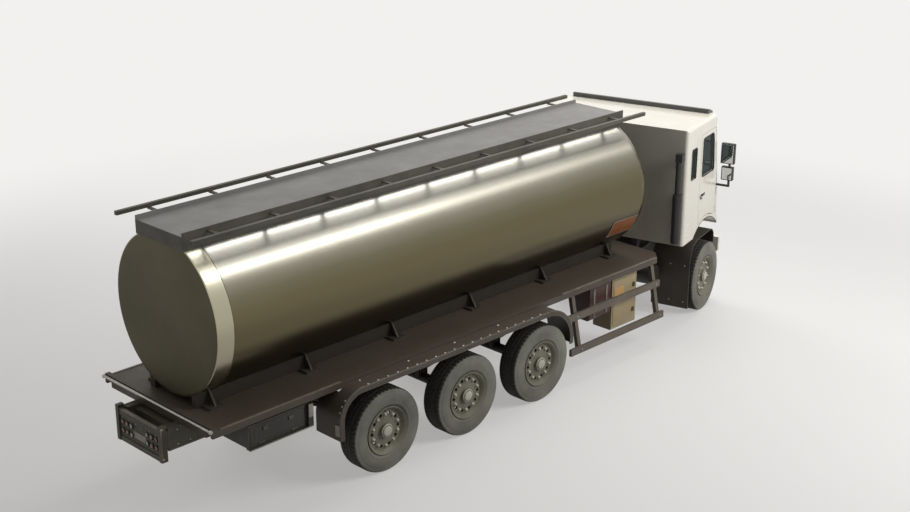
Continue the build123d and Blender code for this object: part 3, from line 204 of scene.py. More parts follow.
def stainlessSheet(look):
    # fine-brushed sheet with a soft gloss: painted shade and painted reflection bands darken it towards the
    # lower half, the rear band is paler, the rear dish is rough and darkened with painted shade; the brushing
    # runs round the tank
    mat = newMaterial("stainlessSheet")
    place = objectPlace(mat)
    parts = addNode(mat, "SeparateXYZ", links={0: place})
    grain = addNode(mat, "Mapping", {"Scale": look["brushScale"]}, {"Vector": place}).outputs[0]
    brushed = addNoise(mat, grain, 1.0, 5.0, 0.55)
    patch = addNoise(mat, place, 0.8, 3.0)
    height = addMath(
        mat, "ADD", parts.outputs["Z"], addRange(mat, patch, 0.3, 0.7, -look["uneven"], look["uneven"])
    )
    # the height ramp paints shade and reflection bands into the colour, darker towards the bottom
    shadeRamp = addNode(mat, "ValToRGB", links={0: addRange(mat, height, look["lowZ"], look["highZ"])})
    paintedShadeStops = shadeRamp.color_ramp.elements
    paintedShadeStops[0].position, paintedShadeStops[0].color = look["paintedShadeStops"][0][0], linear(look["paintedShadeStops"][0][1])
    paintedShadeStops[1].position, paintedShadeStops[1].color = look["paintedShadeStops"][-1][0], linear(look["paintedShadeStops"][-1][1])
    for position, colour in look["paintedShadeStops"][1:-1]:
        stop = paintedShadeStops.new(position)
        stop.color = linear(colour)
    band = addRange(
        mat, parts.outputs["X"], look["bandX"] - 0.004, look["bandX"] + 0.004, look["bandShare"], 0.0
    )
    colour = addMix(mat, band, shadeRamp.outputs[0], linear(look["bandColour"]))
    normal = addNode(mat, "SeparateXYZ", links={0: addNode(mat, "NewGeometry").outputs["Normal"]})
    endFace = addRange(mat, addMath(mat, "ABSOLUTE", normal.outputs["X"], 0.0), 0.9, 0.98)
    # the end faces' dark colour is painted shade, drifting between two tones; their rough finish is their own
    endShadeDrift = addRange(mat, patch, 0.3, 0.7)
    paintedEndShade = addMix(mat, endShadeDrift, linear(look["endShadeColours"][0]), linear(look["endShadeColours"][1]))
    colour = addMix(mat, endFace, colour, paintedEndShade)
    colour = addMix(
        mat, addRange(mat, brushed, 0.35, 0.7, 0.0, look["brushShare"]), colour, linear(look["brushColour"])
    )
    roughness = addRange(mat, brushed, 0.3, 0.7, look["roughness"][0], look["roughness"][1])
    roughness = addMath(mat, "MAXIMUM", roughness, product(mat, endFace, look["endRoughness"]))
    return finished(mat, colour, roughness, brushed, 0.012, 0.0001, {"Metallic": 1.0})


def clearGlass(name, colour, share):
    # tinted glazing seen as a thin pane: part glossy, part see-through, faint smears in the gloss
    mat = newMaterial(name)
    place = objectPlace(mat)
    smear = addNoise(mat, place, 7.0)
    gloss = addNode(
        mat,
        "BsdfPrincipled",
        {"Base Color": linear(colour)},
        {"Roughness": addRange(mat, smear, 0.3, 0.7, 0.03, 0.12)},
    )
    through = addNode(mat, "BsdfTransparent", {"Color": linear(colour)})
    weight = addNode(mat, "LayerWeight", {"Blend": 0.35})
    addOutput(
        mat, mixedShader(mat, addRange(mat, weight.outputs["Fresnel"], 0.0, 1.0, share, 1.0), through, gloss)
    )
    return mat


def paintLook(colour, second, smooth, rough, dust, **more):
    # two near colours that drift into each other, a span of roughness, and the share of dust
    return {"colour": colour, "second": second, "roughness": (smooth, rough), "dust": dust, **more}


looks = {
    # worn brown paint of the chassis, deck and guards: bare metal glints along every edge
    "chassisPaint": paintLook("#302B24", "#25211C", 0.45, 0.65, 0.4, wear=0.7),
    "brownPaint": paintLook("#50463D", "#453D35", 0.42, 0.6, 0.35, wear=0.8),
    "framePaint": paintLook("#6C6856", "#5B5748", 0.42, 0.6, 0.3, wear=0.7),
    "guardPaint": paintLook("#6A6257", "#5B534A", 0.42, 0.6, 0.3, wear=0.8),
    # dull grey plate with a broad soft sheen, and darker rails and panel that frame it
    "walkwayPlate": paintLook("#8F8D8B", "#858381", 0.45, 0.6, 0.12, metallic=0.3, wear=0.15),
    "railPaint": paintLook("#59564B", "#45423A", 0.4, 0.6, 0.3, wear=0.9),
    "panelPaint": paintLook("#5C5642", "#4D4838", 0.4, 0.6, 0.3, wear=0.7),
    # satin box paints: near black, tan and dark red, so that each box reads as a separate unit
    "boxPaint": paintLook("#2B2A26", "#232220", 0.35, 0.55, 0.3, wear=0.8),
    "tanPaint": paintLook("#B5A482", "#A39270", 0.35, 0.5, 0.25, wear=0.4),
    "maroonPaint": paintLook("#4C2C27", "#3A221F", 0.35, 0.5, 0.3, wear=0.5),
    # clean glossy cab paint under clear lacquer, the brightest form of the truck
    "creamPaint": paintLook(
        "#F1EDE0", "#EAE5D6", 0.22, 0.32, 0.16, dustColour="#A89B82", coat=0.6, bump=0.03, wear=0.15
    ),
    # dusty rim paint, so that the nuts and caps stand out on it
    "rimPaint": paintLook("#85836F", "#6E6D5F", 0.35, 0.55, 0.4, wear=0.5),
    # bare turned steel with tight highlights, and rough cast iron that stays dark below
    "machinedSteel": paintLook("#8F8D88", "#6B675F", 0.3, 0.45, 0.2, metallic=1.0),
    "castIron": paintLook("#3B3835", "#2E2B28", 0.55, 0.7, 0.5, metallic=0.4, bump=0.5),
    # grained dark plastics that take almost no highlight
    "darkPlastic": paintLook("#262422", "#1E1D1B", 0.45, 0.6, 0.15, bump=0.25),
    "cabTrim": paintLook("#3F3E3A", "#383733", 0.5, 0.65, 0.1, bump=0.4),
    # dusty pale walls over near-black tread, which make the tyre look used on dry roads
    "tyreRubber": paintLook("#8C8B80", "#6C6B64", 0.6, 0.8, 0.25, dustHeight=1.6, bump=0.3),
    "treadRubber": paintLook("#2E2E2C", "#262625", 0.65, 0.8, 0.2, bump=0.3),
    # matt cloth, the softest surface behind the glass
    "seatCloth": paintLook("#3C3D42", "#323338", 0.8, 0.9, 0.0, fineScale=600.0),
    # small bright fasteners and caps that catch the light as points; the nuts' whitened paint is partly a
    # painted glint
    "boltSteel": paintLook("#B4B2AA", "#9A9890", 0.28, 0.42, 0.12, metallic=0.85, patchScale=30.0),
    "capPaint": paintLook("#D3D1C3", "#BDBBAC", 0.35, 0.5, 0.2, metallic=0.2),
    # a pale nut colour, whitened further as a painted glint
    "nutPaintAndGlint": paintLook("#E4E1D3", "#D2CFC0", 0.3, 0.45, 0.1, patchScale=20.0),
    # pale strips for edges, painted highlights that draw the outlines of dark forms
    "paintedEdgeHighlight": paintLook("#B3AC9C", "#8F887A", 0.45, 0.6, 0.25, patchScale=5.0),
    "visorPaint": paintLook("#5B5B59", "#4F4F4D", 0.4, 0.55, 0.15, bump=0.15),
    "wornEdge": paintLook("#8E8779", "#6E675B", 0.45, 0.65, 0.3, patchScale=6.0),
    # matt black rubber lines round the glass and arches
    "blackRubber": paintLook("#1E1E1D", "#282726", 0.6, 0.75, 0.2, bump=0.2),
    # faded signal colours with a dusty film
    "redPaint": paintLook("#8E2318", "#761C13", 0.4, 0.5, 0.2),
    "orangePlate": paintLook("#824A0C", "#783B1E", 0.5, 0.6, 0.15, patchScale=3.0, dustColour="#94765E"),
    "yellowPlate": paintLook("#D8B24A", "#CDA28A", 0.4, 0.5, 0.2, patchScale=9.0),
    # reflectors, lenses and mirror: smooth and glossy, so that they flash among dull parts
    "creamReflector": paintLook("#D9D3BC", "#C6C0A8", 0.25, 0.35, 0.2, coat=0.3),
    "amberLens": paintLook("#D1762A", "#BF6420", 0.12, 0.2, 0.1, coat=0.6),
    "mirrorSilver": paintLook("#D5D8DA", "#CBCFD2", 0.03, 0.06, 0.0, metallic=1.0, bump=0.0),
    "redLens": paintLook("#B0301C", "#9A2614", 0.12, 0.2, 0.1, coat=0.5),
    "clearLens": paintLook("#D9DBD6", "#C4C7C2", 0.08, 0.15, 0.1, coat=0.8),
}
print("scene: materials")
materials = {name: paintedSurface(name, look) for name, look in looks.items()}
tankLow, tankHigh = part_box("tank")
sheetLook = {
    "brushScale": (700.0, 5.0, 5.0),
    "uneven": 0.02,
    "lowZ": tankLow.z,
    "highZ": tankHigh.z,
    # painted shade and painted reflection bands, from the bottom of the tank up
    "paintedShadeStops": (
        (0.0, "#5C5440"), (0.27, "#585039"), (0.34, "#4E4734"), (0.395, "#665E46"), (0.6, "#6B634A"),
        (0.68, "#736E59"), (0.79, "#8F8C80"), (1.0, "#AFADA6"),
    ),
    "bandX": hitch[0] - 7.02,
    "bandShare": 0.62,
    "bandColour": "#C9C4AC",
    # painted shade of the end faces
    "endShadeColours": ("#4A4636", "#565140"),
    "brushShare": 0.015,
    "brushColour": "#A09B88",
    "roughness": (0.27, 0.273),
    "endRoughness": 0.5,
}
materials["stainlessSheet"] = stainlessSheet(sheetLook)
materials["cabGlass"] = clearGlass("cabGlass", "#5E6A66", 0.25)

coats = {
    "stainlessSheet": ("tank",),
    "chassisPaint": ("tank_saddles", "front_frame", "front_fenders"),
    "walkwayPlate": ("walkway",),
    "railPaint": ("walkway_rails",),
    "framePaint": ("tank_frame",),
    "brownPaint": ("deck", "wheel_guards"),
    "panelPaint": ("lamp_panel",),
    "redLens": ("tail_lamps",),
    "guardPaint": ("side_guards",),
    "boxPaint": ("tool_boxes", "tool_door_right", "tool_door_left", "air_tanks"),
    "machinedSteel": ("discharge_pipes", "hitch_pin", "hitch_ring", "tie_rod"),
    "tanPaint": ("equipment_box",),
    "maroonPaint": ("hose_box",),
    "castIron": (
        "rear_axles",
        "rear_springs",
        "engine_block",
        "front_axle",
        "front_springs",
        "knuckle_right",
        "knuckle_left",
    ),
    "creamPaint": ("cab_shell", "door_right", "door_left", "bumper"),
    "cabGlass": ("cab_glass", "door_glass_right", "door_glass_left"),
    "seatCloth": ("seats",),
    "cabTrim": ("dashboard",),
    "darkPlastic": ("steering_wheel", "grille", "mirrors", "intake_pipe"),
    "clearLens": ("headlamps",),
    "visorPaint": ("sun_visor",),
}
nodeMaterials = {name: coat for coat, names in coats.items() for name in names}
for name, node in nodes.items():
    if name.startswith("rim_"):
        nodeMaterials[name] = "rimPaint"
    elif name.startswith("tyre_"):
        nodeMaterials[name] = "tyreRubber"
    node.data.materials.clear()
    node.data.materials.append(materials[nodeMaterials[name]])


def newObject(name, data):
    made = bpy.data.objects.new(name, data)
    bpy.context.scene.collection.objects.link(made)
    return made


# mesh building: whole arrays in, one object out
def gridFaces(rows, columns):
    # quads over a grid of points counted row by row, the last column joined to the first
    i, j = np.meshgrid(np.arange(rows - 1), np.arange(columns), indexing="ij")
    k = (j + 1) % columns
    return np.stack(
        (i * columns + j, i * columns + k, (i + 1) * columns + k, (i + 1) * columns + j), -1
    ).reshape(-1, 4)


def endFaces(rows, columns):
    # one flat face over the first row and one over the last
    return [list(range(columns))[::-1], list(range((rows - 1) * columns, rows * columns))]


def closedFaces(rows, columns):
    # the same grid with its last row joined to the first
    faces = gridFaces(rows + 1, columns)
    return np.where(faces >= rows * columns, faces - rows * columns, faces)


def joined(parts):
    # several (points, faces) as one; each part's faces are moved on by the points before it
    starts = np.cumsum([0] + [len(points) for points, faces in parts[:-1]])
    points = np.concatenate([points for points, faces in parts])
    faces = [face for start, (_, partFaces) in zip(starts, parts) for face in shifted(partFaces, start)]
    return points, faces


def shifted(faces, start):
    if isinstance(faces, np.ndarray):
        return (faces + start).tolist()
    return [[corner + start for corner in face] for face in faces]


def turned(profile, segments, rowAxes=((1, 0, 0), (0, 1, 0), (0, 0, 1)), centre=(0, 0, 0)):
    # turned form: point = centre + h * a0 + r * (cos t * a1 + sin t * a2), with (h, r) down the profile
    h, r = np.asarray(profile, float).T
    t = np.linspace(0, 2 * np.pi, segments, endpoint=False)
    local = np.stack((h[:, None] + 0 * t, r[:, None] * np.cos(t), r[:, None] * np.sin(t)), -1)
    points = local.reshape(-1, 3) @ np.asarray(rowAxes, float) + centre
    rows = len(h)
    faces = gridFaces(rows, segments).tolist()
    if abs(h[0] - h[-1]) > 1e-6:
        faces += endFaces(rows, segments)
    return points, faces


def placesAt(x, y, z):
    # rows of (x, y, z), single values repeated along the lists
    return np.stack(np.broadcast_arrays(x, y, z), -1).astype(float)


def span(start, *offsets):
    return [start + offset for offset in offsets]


def boxes(lows, highs):
    # one block for each pair of corners
    lows, highs = np.atleast_2d(np.asarray(lows, float)), np.atleast_2d(np.asarray(highs, float))
    pick = np.array([(i, j, k) for i in (0, 1) for j in (0, 1) for k in (0, 1)])
    points = (lows[:, None] * (1 - pick) + highs[:, None] * pick).reshape(-1, 3)
    sides = np.array(((0, 1, 3, 2), (4, 6, 7, 5), (0, 4, 5, 1), (2, 3, 7, 6), (0, 2, 6, 4), (1, 5, 7, 3)))
    faces = (sides[None] + 8 * np.arange(len(lows))[:, None, None]).reshape(-1, 4)
    return points, faces


def sideBox(side, xs, ys, zs):
    # one block on the right (side -1) or left (side 1), its ys measured outward from the middle
    low, high = sorted((side * ys[0], side * ys[1]))
    return boxes((xs[0], low, zs[0]), (xs[1], high, zs[1]))


def copiedTo(part, places):
    # the same form set down at every place
    points, faces = part
    places = np.atleast_2d(np.asarray(places, float))
    moved = (points[None] + places[:, None]).reshape(-1, 3)
    return moved, [
        [c + n * len(points) for c in face] for n in range(len(places)) for face in shifted(faces, 0)
    ]


def tube(path, radius, sides=10, closed=False, normal=(0, 0, 1)):
    # round bar: point = path + radius * (cos t * side + sin t * lift), side = tangent x normal
    path = np.asarray(path, float)
    if closed:
        along = np.roll(path, -1, 0) - np.roll(path, 1, 0)
    else:
        along = np.gradient(path, axis=0)
    along = along / np.linalg.norm(along, axis=1, keepdims=True)
    side = np.cross(along, normal)
    side = side / np.linalg.norm(side, axis=1, keepdims=True)
    lift = np.cross(side, along)
    t = np.linspace(0, 2 * np.pi, sides, endpoint=False)[None, :, None]
    points = path[:, None] + radius * (np.cos(t) * side[:, None] + np.sin(t) * lift[:, None])
    rows = len(path)
    if closed:
        return points.reshape(-1, 3), closedFaces(rows, sides)
    return points.reshape(-1, 3), gridFaces(rows, sides).tolist() + endFaces(rows, sides)


def ringPath(corners, radius, steps=6):
    # a flat loop through the corners, each rounded: quadratic curve from edge point to edge point
    corners = np.asarray(corners, float)
    before, after = np.roll(corners, 1, 0), np.roll(corners, -1, 0)
    towards = lambda target: (target - corners) / np.linalg.norm(target - corners, axis=1, keepdims=True)
    start, end = corners + radius * towards(before), corners + radius * towards(after)
    s = np.linspace(0, 1, steps)[None, :, None]
    return (
        (1 - s) ** 2 * start[:, None] + 2 * s * (1 - s) * corners[:, None] + s**2 * end[:, None]
    ).reshape(-1, corners.shape[1])


def addPiece(name, part, material, unit, body, bevel=0.0, crease=35.0):
    # the finished object: one part or a list of them, put in the shared frame, faces turned outward,
    # shaded by angle
    points, faces = joined(part) if isinstance(part, list) else part
    mesh = bpy.data.meshes.new(name)
    mesh.from_pydata(toRow(points, unit).tolist(), [], shifted(faces, 0))
    mesh.validate()
    build = bmesh.new()
    build.from_mesh(mesh)
    bmesh.ops.recalc_face_normals(build, faces=build.faces)
    build.to_mesh(mesh)
    build.free()
    mesh.materials.append(materials[material])
    mesh.shade_smooth()
    mesh.set_sharp_from_angle(angle=math.radians(crease))
    piece = newObject(name, mesh)
    if bevel:
        rounding = piece.modifiers.new("rounding", "BEVEL")
        rounding.width = bevel
        rounding.segments = 2
        rounding.limit_method = "ANGLE"
        rounding.use_clamp_overlap = True
    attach(piece, body)
    return piece


def onTank(name, part, material, **finish):
    return addPiece(name, part, material, "tank", "tank_unit", **finish)


def onCab(name, part, material, **finish):
    return addPiece(name, part, material, "cab", "cab_unit", **finish)


# a domed head of height 1 and radius 1
boltProfile = ((0.0, 0.001), (0.0, 1.0), (0.35, 1.0), (0.75, 0.72), (1.0, 0.3), (1.0, 0.001))


def boltHeads(places, outward, radius, height, segments=6):
    # domed heads standing on a face; outward is the way they point
    outward = np.asarray(outward, float)
    side = np.cross(outward, (0.37, 0.61, 0.7))
    side /= np.linalg.norm(side)
    profile = [(h * height, r * radius) for h, r in boltProfile]
    return copiedTo(turned(profile, segments, (outward, side, np.cross(outward, side))), places)


# tank: smooth sheet with one raised seam near the rear
print("scene: tank")
tankSkinLook = {
    "radius": 0.935,
    "endRadius": 0.9,
    "rearX": -7.24,
    "frontX": 0.0,
    "rearKnuckle": 0.012,
    "frontKnuckle": 0.1,
    "seamX": (-7.02, -6.996),
    "seamHeight": 0.006,
    "seamSlope": 0.002,
    "flat": 0.004,
    "tiny": 0.001,
    "segments": 160,
}


def tankProfile(look):
    # (x, r) from the rear face's middle round to the front face's middle; a short flat follows each
    # knuckle so that the shading of the long sheet stays level
    turn = np.linspace(0, np.pi / 2, 9)
    rearX = look["rearX"] + look["rearKnuckle"] * (1 - np.cos(turn))
    rearR = look["endRadius"] + (look["radius"] - look["endRadius"]) * np.sin(turn)
    lowX, highX = look["seamX"]
    slope, rise = look["seamSlope"], look["seamHeight"]
    seam = [(lowX, 0.0), (lowX + slope, rise), (highX - slope, rise), (highX, 0.0)]
    seam = [(x, look["radius"] + rise) for x, rise in seam]
    frontX = look["frontX"] - look["frontKnuckle"] * np.cos(turn)
    frontR = look["endRadius"] + (look["radius"] - look["endRadius"]) * np.cos(turn) ** 0.5
    body = list(zip(rearX, rearR)) + [(rearX[-1] + look["flat"], look["radius"])] + seam
    body += [(frontX[0] - look["flat"], look["radius"])]
    body += list(zip(frontX, np.clip(frontR, look["endRadius"], None)))
    return [(look["rearX"], look["tiny"])] + body + [(look["frontX"], look["tiny"])]


tankCentreZ = sum(corner[2] for corner in unitBox("tank", "tank")) / 2
tankForm = turned(tankProfile(tankSkinLook), tankSkinLook["segments"], centre=(0, 0, tankCentreZ))
tankSkin = onTank("tankSkin", tankForm, "stainlessSheet", crease=50)
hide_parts("tank")

# a bare orange placard in a thin frame; x along the tank, angles below the tank's middle line
placardLook = {
    "x": (-0.62, -0.12),
    "below": (0.36, 0.63),
    "lift": (0.0015, 0.0055),
    "border": 0.014,
    "borderLift": (0.001, 0.008),
    "borderSteps": 4,
}


def tankPatch(x, below, lift, steps=12):
    # a curved plate on the right side: (x, -(R + l) cos a, zc - (R + l) sin a)
    a = np.linspace(below[0], below[1], steps)
    rim = np.concatenate((np.full(steps, lift[1]), np.full(steps, lift[0]))) + tankSkinLook["radius"]
    angles = np.concatenate((a, a[::-1]))
    section = np.stack((-rim * np.cos(angles), tankCentreZ - rim * np.sin(angles)), -1)
    ends = [np.column_stack((np.full(2 * steps, value), section)) for value in x]
    return np.concatenate(ends), gridFaces(2, 2 * steps).tolist() + endFaces(2, 2 * steps)


placard = tankPatch(placardLook["x"], placardLook["below"], placardLook["lift"])
onTank("placard", placard, "orangePlate")
edge = placardLook["border"]
low, high = placardLook["x"]
lowA, highA = placardLook["below"]
edgeA = edge / tankSkinLook["radius"]
frameLift, frameSteps = placardLook["borderLift"], placardLook["borderSteps"]
placardFrame = [
    tankPatch((low - edge, high + edge), (lowA - edgeA, lowA), frameLift, frameSteps),
    tankPatch((low - edge, high + edge), (highA, highA + edgeA), frameLift, frameSteps),
    tankPatch((low - edge, low), (lowA, highA), frameLift),
    tankPatch((high, high + edge), (lowA, highA), frameLift),
]
onTank("placardFrame", placardFrame, "wornEdge")

# wheels: treaded tyres, nuts and hub caps
print("scene: wheels")
wheelLook = {
    "lugs": 56,
    "columns": 336,
    "grooveDepth": 0.011,
    "grooveAt": (-0.052, 0.0, 0.052),
    "grooveHalf": 0.006,
    "nutCount": 10,
    "nutCircle": 0.2,
    "nutRadius": 0.02,
    "nutFace": -0.0585,
    "nutHeight": 0.03,
    "hubBolts": 8,
    "hubBoltCircle": 0.072,
    "width": 0.295,
    "shoulder": 0.044,
    "treadRows": 34,
    "treadRadius": 0.52,
    "treadHalf": 0.124,
    "lug": {"slant": 4.0, "share": 0.2, "from": 0.058},
    "sipe": {"slant": 5.0, "share": 0.17, "from": 0.008},
}
# the outer wall from bead to shoulder, as (across, radius)
tyreSection = (
    (-0.0305, 0.3), (-0.018, 0.318), (-0.016, 0.322), (-0.011, 0.33), (-0.0075, 0.336), (-0.0085, 0.342),
    (-0.004, 0.365), (-0.001, 0.4), (-0.002, 0.43), (-0.005, 0.455), (-0.0075, 0.458), (-0.0095, 0.475),
    (-0.014, 0.502), (-0.024, 0.512), (-0.038, 0.518),
)


def tyreForm(look):
    # turned section with the tread cut in: grooves round at fixed widths, lugs where a saw wave is low;
    # wave = lug count * angle / full turn + slant * distance from the middle, its whole part dropped
    width, shoulder, rows = look["width"], look["shoulder"], look["treadRows"]
    outer = np.array(tyreSection)
    inner = np.column_stack((-width - outer[::-1, 0], outer[::-1, 1]))
    across = np.linspace(-shoulder, -width + shoulder, rows)
    tread = np.column_stack((across, np.full(rows, look["treadRadius"])))
    h, r = np.concatenate((outer, tread, inner)).T
    t = np.linspace(0, 2 * np.pi, look["columns"], endpoint=False)[None, :]
    offset = np.abs(h + width / 2)[:, None]
    onTread = (r > look["treadRadius"] - 0.01)[:, None] & (offset < look["treadHalf"])
    middle = (h + width / 2)[:, None]
    rings = np.min([np.abs(middle - at) for at in look["grooveAt"]], axis=0) < look["grooveHalf"]

    def cuts(kind, start):
        wave = (t * look["lugs"] / (2 * np.pi) + start + kind["slant"] * offset) % 1.0
        return (wave < kind["share"]) & (offset > kind["from"])

    lugs, sipes = cuts(look["lug"], 0.0), cuts(look["sipe"], 0.5)
    shallow = np.where(sipes & ~lugs, 0.5 * look["grooveDepth"], 0.0)
    depth = np.where(rings | lugs, look["grooveDepth"], shallow)
    radius = r[:, None] - np.where(onTread, depth, 0.0)
    local = np.stack((np.broadcast_to(h[:, None], radius.shape), radius * np.cos(t), radius * np.sin(t)), -1)
    return local.reshape(-1, 3), closedFaces(len(h), look["columns"])


tyre = tyreForm(wheelLook)
faceRows = np.arange(len(tyre[1])) // wheelLook["columns"]
treadEnd = len(tyreSection) + wheelLook["treadRows"] + 1
treadFaces = (faceRows >= len(tyreSection) - 2) & (faceRows < treadEnd)
hubCap = turned(
    ((-0.012, 0.001), (-0.012, 0.062), (-0.006, 0.061), (-0.003, 0.054), (-0.0015, 0.03), (-0.001, 0.001)), 32
)
hubRing = turned(((-0.026, 0.001), (-0.026, 0.084), (-0.018, 0.084), (-0.015, 0.08), (-0.014, 0.001)), 40)


def circlePlaces(x, radius, count, start=0.0):
    # (x, radius * cos a, radius * sin a) for evenly spaced angles a
    a = np.linspace(0, 2 * np.pi, count, endpoint=False) + start
    return placesAt(x, radius * np.cos(a), radius * np.sin(a))


nutCount = wheelLook["nutCount"]
nutPlaces = circlePlaces(wheelLook["nutFace"], wheelLook["nutCircle"], nutCount, np.pi / nutCount)
nuts = boltHeads(nutPlaces, (1, 0, 0), wheelLook["nutRadius"], wheelLook["nutHeight"], 10)
hubBoltPlaces = circlePlaces(-0.0145, wheelLook["hubBoltCircle"], wheelLook["hubBolts"])
hubBolts = boltHeads(hubBoltPlaces, (1, 0, 0), 0.0055, 0.006)
valve = tube(((-0.06, 0.0, 0.238), (-0.045, 0.0, 0.242), (-0.032, 0.0, 0.25)), 0.005, 8, normal=(0, 1, 0))
wheels = {f"rear_{i + 1}_{name}": "tank" for i in range(3) for name in ("right", "left")}
wheels.update({"front_right": "cab", "front_left": "cab"})


def placedAt(part, basis, centre):
    return part[0] @ basis + centre, part[1]


for label, unit in wheels.items():
    centre = (np.array(joints["spin_" + label]["pos_m"]) - hitch) @ units[unit].T
    sign = 1 if label.endswith("left") else -1
    basis = np.array(((0, sign, 0), (-sign, 0, 0), (0, 0, 1.0)))
    body = "wheel_" + label
    treaded = addPiece("tread_" + label, placedAt(tyre, basis, centre), "tyreRubber", unit, body, crease=30)
    treaded.data.materials.append(materials["treadRubber"])
    treaded.data.polygons.foreach_set("material_index", treadFaces.astype(np.int32))
    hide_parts("tyre_" + label)
    details = (
        ("nuts_", joined([nuts, hubBolts]), "nutPaintAndGlint"),
        ("cap_", joined([hubCap, hubRing]), "capPaint"),
        ("valve_", valve, "blackRubber"),
    )
    for start, part, material in details:
        addPiece(start + label, placedAt(part, basis, centre), material, unit, body)

# deck, guards and rear end
print("scene: deck and guards")
deckLow, deckHigh = unitBox("deck", "tank")
guardLow, guardHigh = unitBox("wheel_guards", "tank")
frameLow, frameHigh = unitBox("tank_frame", "tank")
panelLow, panelHigh = unitBox("lamp_panel", "tank")
guardLook = {
    "boltInset": 0.036,
    "upperOffset": 0.03,
    "rowPitch": 0.155,
    "upperPitch": 0.77,
    "rearTurn": 0.35,
    "frontTurn": 0.48,
    "boltRadius": 0.0145,
    "boltHeight": 0.011,
    "beadRadius": 0.009,
    "beadInset": 0.0095,
}
outerY, guardTop = guardHigh[1], guardHigh[2]
rearTurn, frontTurn = guardLook["rearTurn"], guardLook["frontTurn"]
rowStart, rowEnd = guardLow[0] + rearTurn + 0.1, guardHigh[0] - frontTurn - 0.1
rowXs = np.arange(rowStart, rowEnd, guardLook["rowPitch"])
upperXs = np.arange(rowStart, rowEnd, guardLook["upperPitch"])
boltY = outerY - guardLook["boltInset"]
# the rounded ends: centre x, turn radius, angles of the heads that point outward, first and last angle
rounds = (
    (guardLow[0] + rearTurn, rearTurn, np.radians((158, 146, 134)), (np.pi, np.pi / 2)),
    (guardHigh[0] - frontTurn, frontTurn, np.radians((18, 32, 46)), (np.pi / 2, 0)),
)
boltSize = guardLook["boltRadius"], guardLook["boltHeight"]
guardBolts = []
for side in (-1, 1):
    guardBolts.append(boltHeads(placesAt(rowXs, side * boltY, guardTop), up, *boltSize))
    for centreX, turn, angles, _ in rounds:
        for angle in angles:
            away = np.array((math.cos(angle), 0, math.sin(angle)))
            place = np.array((centreX, side * boltY, guardTop - turn)) + turn * away
            guardBolts.append(boltHeads(place, away, *boltSize))
    upperY = side * (deckHigh[1] + guardLook["upperOffset"])
    guardBolts.append(boltHeads(placesAt(upperXs, upperY, guardTop), up, *boltSize))
# the guard bolts wear the whitened nut paint, a painted glint
onTank("guardBolts", guardBolts, "nutPaintAndGlint")

# thin beads along the guards' outer edges: (x, z) = centre + turn * (cos a, sin a) at both ends
footZ = guardLow[2] + 0.005
arcs = []
for centreX, turn, _, (first, last) in rounds:
    a = np.linspace(first, last, 16)
    arcs.append(np.column_stack((centreX + turn * np.cos(a), guardTop - turn + turn * np.sin(a))))
flat = np.concatenate(([(guardLow[0], footZ)], *arcs, [(guardHigh[0], footZ)]))
beads = []
for side in (-1, 1):
    path = placesAt(flat[:, 0], side * (outerY - guardLook["beadInset"]), flat[:, 1])
    beads.append(tube(path, guardLook["beadRadius"], 8, normal=(0, 1, 0)))
onTank("guardBeads", beads, "railPaint")

# pale reflectors low on the guards' rear ends
reflectorBox = (
    span(guardLow[0], -0.012, -0.0005), span(outerY, -0.012, -0.085), span(guardLow[2], 0.06, 0.2)
)
reflectors = [sideBox(side, *reflectorBox) for side in (-1, 1)]
onTank("guardReflectors", reflectors, "creamReflector", bevel=0.003)

# round bar along the deck's rear edge, with end knobs
rearBarLook = {"radius": 0.016, "knob": 0.027, "x": deckLow[0] - 0.017, "z": deckHigh[2] - 0.028}
barY = deckHigh[1] - 0.01
barEnds = placesAt(rearBarLook["x"], (-barY, barY), rearBarLook["z"])
knobProfile = ((-0.02, 0.001), (-0.018, 0.018), (0, rearBarLook["knob"]), (0.018, 0.018), (0.02, 0.001))
knob = turned(knobProfile, 16, ((0, 1, 0), (0, 0, 1), (1, 0, 0)))
bar = tube(np.linspace(barEnds[0], barEnds[1], 3), rearBarLook["radius"], 12)
onTank("rearBar", [bar, copiedTo(knob, barEnds)], "boltSteel")

# light strips along the deck's long edges, ahead of and behind the guards: painted highlights of the lit edge
# in the worn-edge colour
stripXs = ((deckLow[0] + 0.1, guardLow[0] + 0.2), (guardHigh[0] + 0.02, deckHigh[0] - 0.17))
stripYs, stripZs = span(deckHigh[1], 0.0005, -0.03), span(deckHigh[2] - 0.034, -0.0005, 0.005)
edgeHighlightStrips = [sideBox(side, xs, stripYs, stripZs) for side in (-1, 1) for xs in stripXs]
onTank("deckEdgeHighlights", edgeHighlightStrips, "wornEdge", bevel=0.001)

# tail panel: lamp rings, amber and white domes, a blank plate, bolts
lampBoxLow, lampBoxHigh = unitBox("tail_lamps", "tank")
tailLook = {"radius": 0.027, "pitch": 0.085, "columns": 3, "segments": 24}
outerLamp = lampBoxHigh[1] - tailLook["radius"]
ys = [side * (outerLamp - i * tailLook["pitch"]) for side in (-1, 1) for i in range(tailLook["columns"])]
zs = (lampBoxLow[2] + tailLook["radius"], lampBoxHigh[2] - tailLook["radius"])
lampPlaces = np.array([(lampBoxLow[0], y, z) for y in ys for z in zs])
ringProfile = (
    (0.012, 0.0275), (0.012, 0.034), (-0.001, 0.033), (-0.004, 0.031), (-0.004, 0.0275), (0.012, 0.0275)
)
onTank("lampRings", copiedTo(turned(ringProfile, tailLook["segments"]), lampPlaces), "darkPlastic")
domeProfile = (
    (0.003, 0.001), (0.003, 0.0265), (0.0, 0.0265), (-0.0035, 0.02), (-0.0052, 0.01), (-0.0057, 0.001)
)
dome = turned(domeProfile, tailLook["segments"])
